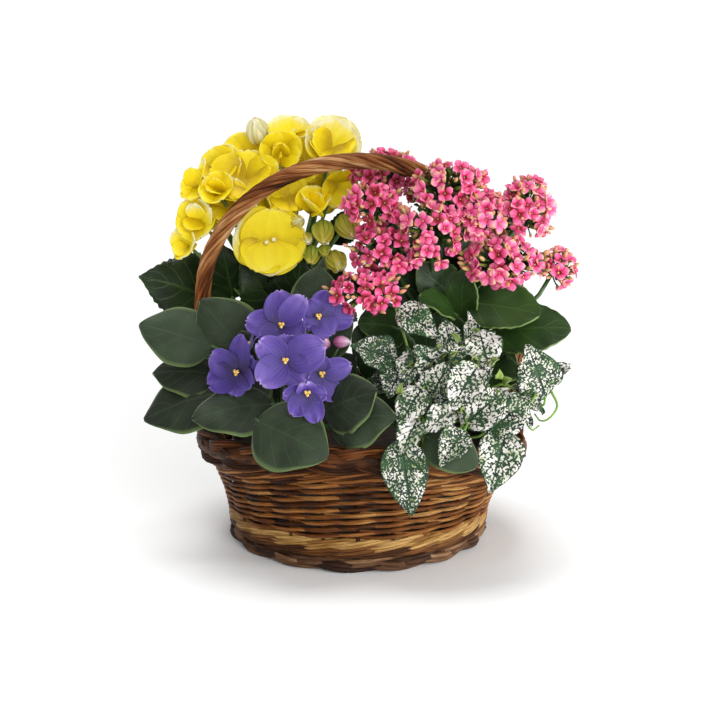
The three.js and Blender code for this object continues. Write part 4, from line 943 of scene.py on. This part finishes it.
def trunk(bm, foot, top, radii, tone):
    """The thick stem that a plant's other stems branch from."""
    path = [foot.lerp(top, k / 8) for k in range(9)]
    rod(bm, path, lambda share: lerp(*radii, share), tone, 9)


trunk(begonia_stems, TRUNK_FOOT, TRUNK_TOP, (5, 3.5), 0.5)
finish(begonia_petals, "begonia_petals", [BEGONIA_PETAL],
       [f"begonia_bloom_{k + 1}" for k in range(16)], thick=0.8, rounding=1)
finish(begonia_buds, "begonia_buds", [BEGONIA_BUD], rounding=1)

# %% [markdown]
# Begonia leaves are lopsided hearts on juicy stalks, with small teeth. Large ones spread under
# the flowers, and a few stand up between the stems, where the photo is dark.
# %% Begonia leaves
BEGONIA_LEAVES = table("vvnv", """
-108 36 165  -159 24 184  62  -0.3 -0.7 0.6
-92 34 166  -98 20 209  46  0 -0.85 0.5
-60 30 160  -85 18 198  46  0 -0.85 0.5
-48 28 160  -40 15 201  46  0.1 -0.9 0.4
-62 42 158  -65 36 206  48  0 -0.95 0.2
-19 34 207  -3 28 237  24  0.3 -0.9 0.2
-76 62 160  -112 84 186  60  -0.4 0.6 0.7
-34 74 160  -22 106 188  58  0 0.5 0.85
-56 80 120  -62 118 122  54  0 0.3 0.95
-80 66 106  -110 88 102  50  -0.4 0.5 0.85
-34 72 98  -18 102 94  50  0.1 0.5 0.9
-82 44 124  -122 56 126  48  -0.6 0.2 0.8
-30 52 134  -2 84 144  50  0.3 0.5 0.8
-42 58 184  -26 88 206  42  0.1 0.7 0.6
-70 56 190  -86 84 212  42  -0.3 0.7 0.5
""")
begonia_leaves = new_piece()


def trunk_leaf_stalk(bm, foot, top, base, tip):
    """The stalk of a leaf that grows from a trunk, a little lower than the leaf's base."""
    root = foot.lerp(top, min(0.95, (base.z - 75) / 118))
    leaf_stalk(bm, root, base, tip, 2.2)


for i, (base, tip, width, face) in enumerate(BEGONIA_LEAVES):
    blade(begonia_leaves, base, tip, width, face, "heart", 39, 10, random.uniform(0.2, 0.6),
          arch=4, cup=-2.5, fold=2, ripple=1.4, teeth=0.1, seed=i + 30)
    trunk_leaf_stalk(begonia_stems, TRUNK_FOOT, TRUNK_TOP, base, tip)
finish(begonia_leaves, "begonia_leaves", [BEGONIA_LEAF], thick=0.9)
finish(begonia_stems, "begonia_stems", [GREEN_STEM], ["begonia_foliage"])

# %% [markdown]
# ## Kalanchoe
# The kalanchoe carries dense heads of small flowers with four pointed petals, pink in front and
# salmon behind, with buds and small green bracts between them. Each floret has a turn, a tilt
# and a tone of its own, and a tube and a thin stem behind it.
# %% Kalanchoe florets
# Each head: its middle, its reach each way, its number of florets, and the way it faces.
HEADS = table("vvnv", """
62 -28 261  24 14 14  14  0.1 -0.6 0.75
20 27 258  24 13 17  20  0 -0.5 0.8
117 -22 241  17 16 22  18  0.3 -0.6 0.7
86 -31 238  16 15 17  13  -0.1 -0.8 0.5
51 -38 229  22 18 23  20  0 -0.8 0.5
11 -28 246  21 14 13  13  -0.2 -0.7 0.7
18 -34 214  26 15 17  18  -0.2 -0.8 0.5
5 -48 189  26 14 13  15  -0.2 -0.85 0.3
101 -38 207  29 15 15  19  0.1 -0.85 0.4
139 -22 199  14 11 13  6  0.7 -0.4 0.6
58 44 240  24 18 17  14  0 0.6 0.8
100 36 222  22 18 18  13  0.4 0.6 0.7
24 62 214  20 14 15  10  -0.1 0.8 0.6
""")
SIDE_HEAD = 9                  # a small one far out on the right, mostly buds
KALANCHOE_FOOT, KALANCHOE_TOP = vec(50, 40, 52), vec(56, 22, 170)
GOLDEN_ANGLE = math.radians(137.5)
FLORET_REACH = 7.8
PETAL_WIDTHS = (0.1, 0.27, 0.4, 0.27, 0.03)
PETAL_PLACES = (0.06, 0.32, 0.56, 0.8, 1.0)


def floret(bm, at, facing, spin, open_angle, tone, size):
    """Four pointed petals, each of eight faces, that lean and twist a little on their own."""
    forward, right, up = flower_axes(facing)
    for quarter in range(4):
        turn = spin + quarter * TURN / 4 + random.uniform(-0.12, 0.12)
        lean = math.radians(open_angle + random.uniform(-12, 8))
        twist = random.uniform(-0.5, 0.5)
        out = right * math.cos(turn) + up * math.sin(turn)
        side = up * math.cos(turn) - right * math.sin(turn)

        def place(u, v, row, column):
            across = 2 * v - 1
            wide = PETAL_WIDTHS[row]
            far = PETAL_PLACES[row] * FLORET_REACH * size
            rise = (far * math.cos(lean) - 1.1 * size * u ** 2
                    + 0.8 * size * across ** 2 * math.sin(math.pi * u))
            rise += twist * across * u * size * 1.5
            return (at + out * far * math.sin(lean) + side * across * wide * FLORET_REACH * size
                    + forward * rise)

        grid(bm, 4, 2, tone + random.uniform(-0.1, 0.1), place)


def on_head(centre, radii, facing, lean, turn, reach):
    """A place on a head: lean from the way it faces, and turn round that."""
    forward, right, up = flower_axes(facing)
    out = forward * math.cos(lean) + (right * math.cos(turn) + up * math.sin(turn)) * math.sin(lean)
    return centre + vec(out.x * radii.x, out.y * radii.y, out.z * radii.z) * reach


random = Random(8)
florets, tubes, buds, kalanchoe_stems, bracts = (new_piece() for _ in range(5))
for i, (centre, radii, count, facing) in enumerate(HEADS):
    aim = facing.normalized()
    count = round(count * 1.6)
    for k in range(count):
        lean = math.acos(lerp(1, -0.35, (k + 0.5) / count))
        at = on_head(centre, radii, facing, lean, k * GOLDEN_ANGLE + random.random(),
                     random.uniform(0.7, 1.0))
        looks = (at - centre).normalized() + aim * 0.45
        looks += scatter((-0.6, 0.6), (-0.6, 0.2), (-0.4, 0.45))
        looks.normalize()
        # Heads left of x = 30 lie in shade behind the handle and the other heads; their tones are
        # 0.52 lower, which paints that shade.
        tone = random.choice((0.1, 0.3, 0.45, 0.55, 0.7, 0.85)) - (0.52 if centre.x < 30 else 0)
        floret(florets, at, looks, random.uniform(0, TURN), random.uniform(45, 84), tone,
               random.uniform(0.78, 1.08))
        heart = centre.lerp(at, 0.25) - aim * 5
        rod(tubes, [at - looks * 6.5, at - looks * 3, at], lambda s: lerp(1.5, 0.9, s),
            random.uniform(0.1, 0.6), 5)
        rod(kalanchoe_stems, [heart, heart.lerp(at - looks * 6, 0.6), at - looks * 5.5], 0.7, 0.5, 4)
        bud(tubes, at + looks * 0.4, (0.8, 0.8, 1.0), looks, 0.2, 5)
    for k in range(round(count * (3 if i == SIDE_HEAD else 1.5))):
        at = on_head(centre, radii, facing, math.acos(random.uniform(-0.6, 0.95)),
                     random.uniform(0, TURN), random.uniform(0.8, 1.14))
        looks = ((at - centre).normalized() + vec(0, -0.2, 0.4)).normalized()
        size = random.uniform(0.75, 1.2)
        bud(buds, at, (1.5 * size, 1.5 * size, 3.0 * size), looks, random.uniform(0.15, 0.85), 6)
        heart = centre.lerp(at, 0.25) - aim * 4
        rod(kalanchoe_stems, [heart, heart.lerp(at, 0.6), at - looks * 2], 0.6, 0.5, 4)
    for k in range(count * 2):
        at = on_head(centre, radii, facing, math.acos(random.uniform(-0.9, 0.8)),
                     random.uniform(0, TURN), random.uniform(0.35, 0.72))
        tip = at + scatter((-6, 6), (-5, 3), (-1, 7))
        blade(bracts, at, tip, random.uniform(3, 5),
              vec(random.uniform(-1, 1), -1, random.uniform(-0.3, 1)), "pointed", 3, 2,
              random.uniform(0.0, 0.6), cup=0.4)
    root = KALANCHOE_FOOT.lerp(KALANCHOE_TOP, lerp(0.5, 0.95, i / len(HEADS)))
    via = vec(110, -50, 150) if i == SIDE_HEAD else None
    stem_to(kalanchoe_stems, root, centre - aim * 4, 2, via, tone=0.4)
finish(bracts, "kalanchoe_bracts", [KALANCHOE_LEAF])
finish(florets, "kalanchoe_florets", [FLORET_FRONT, FLORET_BACK],
       [f"kalanchoe_head_{k + 1}" for k in range(13)], thick=0.5, two_sided=True)
finish(tubes, "kalanchoe_flower_tubes", [BUD_SKIN])
finish(buds, "kalanchoe_buds", [BUD_SKIN])

# %% [markdown]
# Kalanchoe leaves are thick, waxy and scalloped. They stand on the trunk below the heads, the
# largest at the right, and ones with low tones fill the inside, their darker green a painted shade.
# %% Kalanchoe leaves
KALANCHOE_LEAVES = table("vvnvn", """
80 -18 174  126 -42 171  40  0 -0.75 0.65  0.5
94 -27 155  148 -37 160  40  0.1 -0.75 0.6  0.3
68 -18 166  42 -34 181  26  -0.2 -0.6 0.8  0.4
66 -2 178  42 -16 200  32  -0.3 -0.8 0.4  0.2
60 10 168  20 2 206  42  -0.2 -0.9 0.3  0.1
66 12 172  48 6 228  36  0 -0.95 0.1  0
82 8 174  96 2 214  34  0.2 -0.95 0.1  0.1
62 -8 118  22 -20 150  46  -0.2 -0.9 0.3  0
66 -4 118  58 -14 168  46  0 -0.95 0.2  0.1
84 -12 112  106 -20 146  42  0.2 -0.9 0.3  0.1
74 -14 160  76 -22 200  26  -0.4 -0.8 0.2  0.4
60 -4 214  74 -8 244  24  0.2 -0.9 0.3  0.2
78 -20 122  116 -38 124  36  0 -0.6 0.8  0.3
32 -18 154  0 -32 162  36  -0.2 -0.7 0.6  0.1
80 62 150  116 84 158  46  0.3 0.5 0.8  0.4
48 74 150  44 112 160  46  0 0.4 0.9  0.4
62 66 186  72 96 200  38  0.1 0.6 0.8  0.4
84 52 112  118 64 108  44  0.5 0.4 0.8  0.3
56 74 102  60 104 96  46  0 0.5 0.9  0.2
28 64 122  6 94 128  44  -0.2 0.5 0.9  0.3
84 34 132  116 32 128  40  0.7 0.1 0.7  0.1
40 54 180  22 82 190  38  -0.2 0.7 0.7  0.5
68 48 196  88 74 208  34  0.4 0.6 0.6  0.5
36 -14 120  -2 -26 158  44  0 -0.95 0.2  0
42 -40 102  6 -52 118  34  0 -0.9 0.4  0
""")
kalanchoe_leaves = new_piece()
for i, (base, tip, width, face, tone) in enumerate(KALANCHOE_LEAVES):
    blade(kalanchoe_leaves, base, tip, width, face, "round", 24, 8, tone, arch=3, cup=1.8,
          ripple=0.8, teeth=0.07, seed=i + 50)
    trunk_leaf_stalk(kalanchoe_stems, KALANCHOE_FOOT, KALANCHOE_TOP, base, tip)
trunk(kalanchoe_stems, KALANCHOE_FOOT, KALANCHOE_TOP, (5.5, 4), 0.4)
finish(kalanchoe_leaves, "kalanchoe_leaves", [KALANCHOE_LEAF], thick=1.4,
       rounding=1)
finish(kalanchoe_stems, "kalanchoe_stems", [DARK_STEM], ["kalanchoe_foliage"])

# %% [markdown]
# ## Polka dot plant
# Thin stems lean out over the front of the basket with pointed leaves, puckered between their
# veins. The larger leaves lie where the frame has them. Young ones fill the gaps, with the
# narrow green leaves of new shoots between them, and two shoots curl down at the right.
# %% Polka dot plant
# Each stem: its foot, its end, and its leaves, with the same numbers as the violet's.
POLKA_STEMS = table("vv", """
42 -44 56  34 -58 150 | 28 -50 178  54 -64 160  27  -0.2 -0.75 0.6  0.6 \
    | 27 -66 144  -5 -72 157  30  -0.2 -0.75 0.6  1.1 \
    | 31 -70 138  20 -86 124  28  -0.3 -0.8 0.4  1.1 \
    | 40 -66 151  31 -84 132  24  -0.3 -0.8 0.4  0.3 \
    | 26 -46 124  4 -58 118  26  -0.3 -0.5 0.8  0.9
60 -36 56  66 -48 146 | 64 -56 149  59 -52 171  22  0 -0.95 0.2  0.5 \
    | 74 -50 148  76 -48 175  15  0.3 -0.9 0.1  0.4 \
    | 52 -72 143  38 -88 160  27  -0.2 -0.9 0.4  0.4 \
    | 83 -58 163  89 -82 140  30  0 -0.9 0.45  0.15
44 -60 56  44 -88 118 | 44 -86 131  27 -102 107  26  -0.3 -0.9 0.3  0.4 \
    | 63 -94 118  44 -108 105  22  -0.1 -0.85 0.5  0.1 \
    | 40 -99 112  29 -114 92  22  -0.3 -0.9 0.3  0.1 \
    | 28 -107 102  36 -121 52  36  0 -0.97 0.2  0.85
56 -56 56  66 -84 126 | 50 -80 121  62 -92 151  30  -0.3 -0.9 0.3  0.45 \
    | 81 -82 145  61 -105 119  30  0 -0.8 0.6  0.2 \
    | 71 -106 107  54 -121 87  25  -0.1 -0.9 0.4  0.6
64 -44 56  86 -78 112 | 70 -94 106  102 -88 131  32  -0.2 -0.85 0.5  0.35 \
    | 86 -92 101  116 -82 121  30  0.3 -0.8 0.5  0.75 \
    | 100 -86 102  88 -109 64  36  0.1 -0.97 0.25  0.25 \
    | 96 -74 119  118 -82 102  24  0.4 -0.7 0.6  0.6
70 -32 56  104 -56 124 | 129 -61 117  115 -66 156  37  0.1 -0.95 0.2  0.62 \
    | 134 -52 134  149 -56 139  11  0.3 -0.9 0.3  0.3 \
    | 106 -60 124  128 -58 104  22  0.5 -0.6 0.6  0.7 \
    | 84 -44 106  112 -36 94  26  0.4 -0.1 0.9  0.8
""")
random = Random(21)
polka_leaves, polka_stems, shoots = new_piece(), new_piece(), new_piece()
for root, end, leaves in POLKA_STEMS:
    knee = vec(root.x, root.y, end.z * 0.8)
    stem_to(polka_stems, root, end, 1.9, knee, 10)
    for base, tip, width, face, tone in (shaped("vvnvn", leaf) for leaf in leaves):
        blade(polka_leaves, base, tip, width * 0.9, face, "pointed", 14, 8, tone, arch=2.5,
              cup=random.uniform(-2, 2), fold=random.uniform(2, 7), ripple=2.6,
              seed=random.uniform(0, 9))
        share = min(0.97, max(0.35, (base.z - 85) / (end.z - 54)))
        leaf_stalk(polka_stems, bent(root, knee, end, share), base, tip, 1.0)


def young_leaf(bm, seed, middle, reach, inner, depth, spans, widths, side, lift, faces, tones, arch,
               folds, ripple):
    """A small pointed leaf at some place in a round patch, reach x and z wide; its base and tip."""
    turn, out = random.uniform(0, TURN), random.uniform(inner, 1)
    base = vec(middle.x + reach[0] * out * math.cos(turn), middle.y + random.uniform(*depth),
               middle.z + reach[1] * out * math.sin(turn))
    tip = base + scatter(*spans)
    width = random.uniform(*widths)
    face = vec(random.uniform(-side, side), -0.8, random.uniform(*lift))
    blade(bm, base, tip, width, face, "pointed", *faces, random.uniform(*tones), arch=arch,
          fold=random.uniform(*folds), ripple=ripple, seed=seed)
    return base, tip


# The young leaves sit behind the larger ones, and their high tones paint them duller, greener and
# more freckled: painted shade.
for k in range(50):
    base, tip = young_leaf(polka_leaves, k, vec(58, -78, 134), reach=(36, 26), inner=0.1,
                           depth=(-8, 26), spans=((-14, 14), (-9, 0), (-18, 10)), widths=(9, 15),
                           side=0.5, lift=(0, 0.8), faces=(8, 6), tones=(0.5, 1.3), arch=2.5,
                           folds=(1, 4), ripple=1.2)
    leaf_stalk(polka_stems, vec(62 + random.uniform(-12, 12), -60, min(base.z - 8, 122)), base,
               tip, 0.7)
for k in range(44):
    young_leaf(shoots, k, vec(62, -84, 134), reach=(38, 28), inner=0.2, depth=(-8, 16),
               spans=((-9, 9), (-6, 0), (-7, 10)), widths=(3, 6.5), side=0.8, lift=(-0.2, 0.8),
               faces=(6, 4), tones=(0.2, 1.0), arch=1.5, folds=(1, 3), ripple=0.8)
finish(shoots, "polka_dot_shoots", [SHOOT_LEAF], thick=0.4)
for path in ([vec(132, -68, 124), vec(136, -74, 115), vec(131, -76, 107), vec(125, -74, 104),
              vec(121, -70, 108)],
             [vec(122, -66, 121), vec(117, -72, 113), vec(115, -74, 104), vec(119, -76, 98),
              vec(124, -74, 101)]):
    rod(polka_stems, smooth_path(path, 12), lambda share: lerp(1.0, 0.6, share), 0.5, 5)
finish(polka_leaves, "polka_dot_leaves", [POLKA_LEAF],
       [f"polka_stem_{k + 1}" for k in range(6)], thick=0.6, rounding=1)
finish(polka_stems, "polka_dot_stems", [PALE_STEM])

# %% [markdown]
# ## What stays from the frame
# The base, the liner and the soil keep their solids, whose shape is right, and get a finish.
# %% Kept solids
for node, skin in (("basket_base", WILLOW_DARK), ("liner", FILM), ("potting_soil", SOIL)):
    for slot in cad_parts[node].material_slots:
        slot.material = skin

# %% [markdown]
# ## Studio
# The basket stands on white paper in a white room. Two far, wide lamps light it: one overhead
# and slightly behind, which leaves the soft shadow, and a low one in front. A small soft box at
# the right brings out the relief of the weave. Blender's "Standard" view keeps the petals'
# strong colours, which its filmic views turn pale.
# %% Floor, light and camera
def put(name, data, place=None, target=None):
    """An object in the scene, at a place from which it may look at a target."""
    made = bpy.data.objects.new(name, data)
    if place:
        made.location = place
        made.rotation_euler = (target - place).to_track_quat("-Z", "Y").to_euler()
    bpy.context.scene.collection.objects.link(made)
    return made


FLOOR_HALF = 12.0              # metres, so that no edge of the paper is seen
floor = bmesh.new()
bmesh.ops.create_grid(floor, x_segments=1, y_segments=1, size=FLOOR_HALF)
floor_mesh = bpy.data.meshes.new("studio_floor")
floor.to_mesh(floor_mesh)
floor.free()
floor_mesh.materials.append(FLOOR)
floor_piece = put("studio_floor", floor_mesh)

world = bpy.data.worlds.new("white_room")
bpy.context.scene.world = world
world.use_nodes = True
sky = world.node_tree.nodes["Background"].inputs
sky["Color"].default_value, sky["Strength"].default_value = (1.0, 1.0, 1.0, 1.0), 0.42


def sun(name, strength, softness, direction):
    """A far lamp, whose softness is the angle in degrees that it fills in the sky."""
    light = bpy.data.lights.new(name, "SUN")
    light.energy, light.angle = strength, math.radians(softness)
    put(name, light, direction, vec(0, 0, 0))


sun("ceiling_lamp", 1.75, 36, vec(-0.1, 0.28, 1.0))
sun("front_lamp", 1.6, 40, vec(0.35, -1.0, 0.42))
box = bpy.data.lights.new("side_lamp", "AREA")
box.energy, box.size = 2.3, 0.3
put("side_lamp", box, vec(0.58, -0.32, 0.13), vec(0.08, 0.0, 0.06))

camera = bpy.data.cameras.new("camera")
camera.lens, camera.sensor_width = 90.28, 36.0
bpy.context.scene.camera = put("camera", camera, vec(0.0014, -1.2586, 0.4535),
                               vec(0.0014, 0.0, 0.128))
bpy.context.scene.view_settings.view_transform = "Standard"
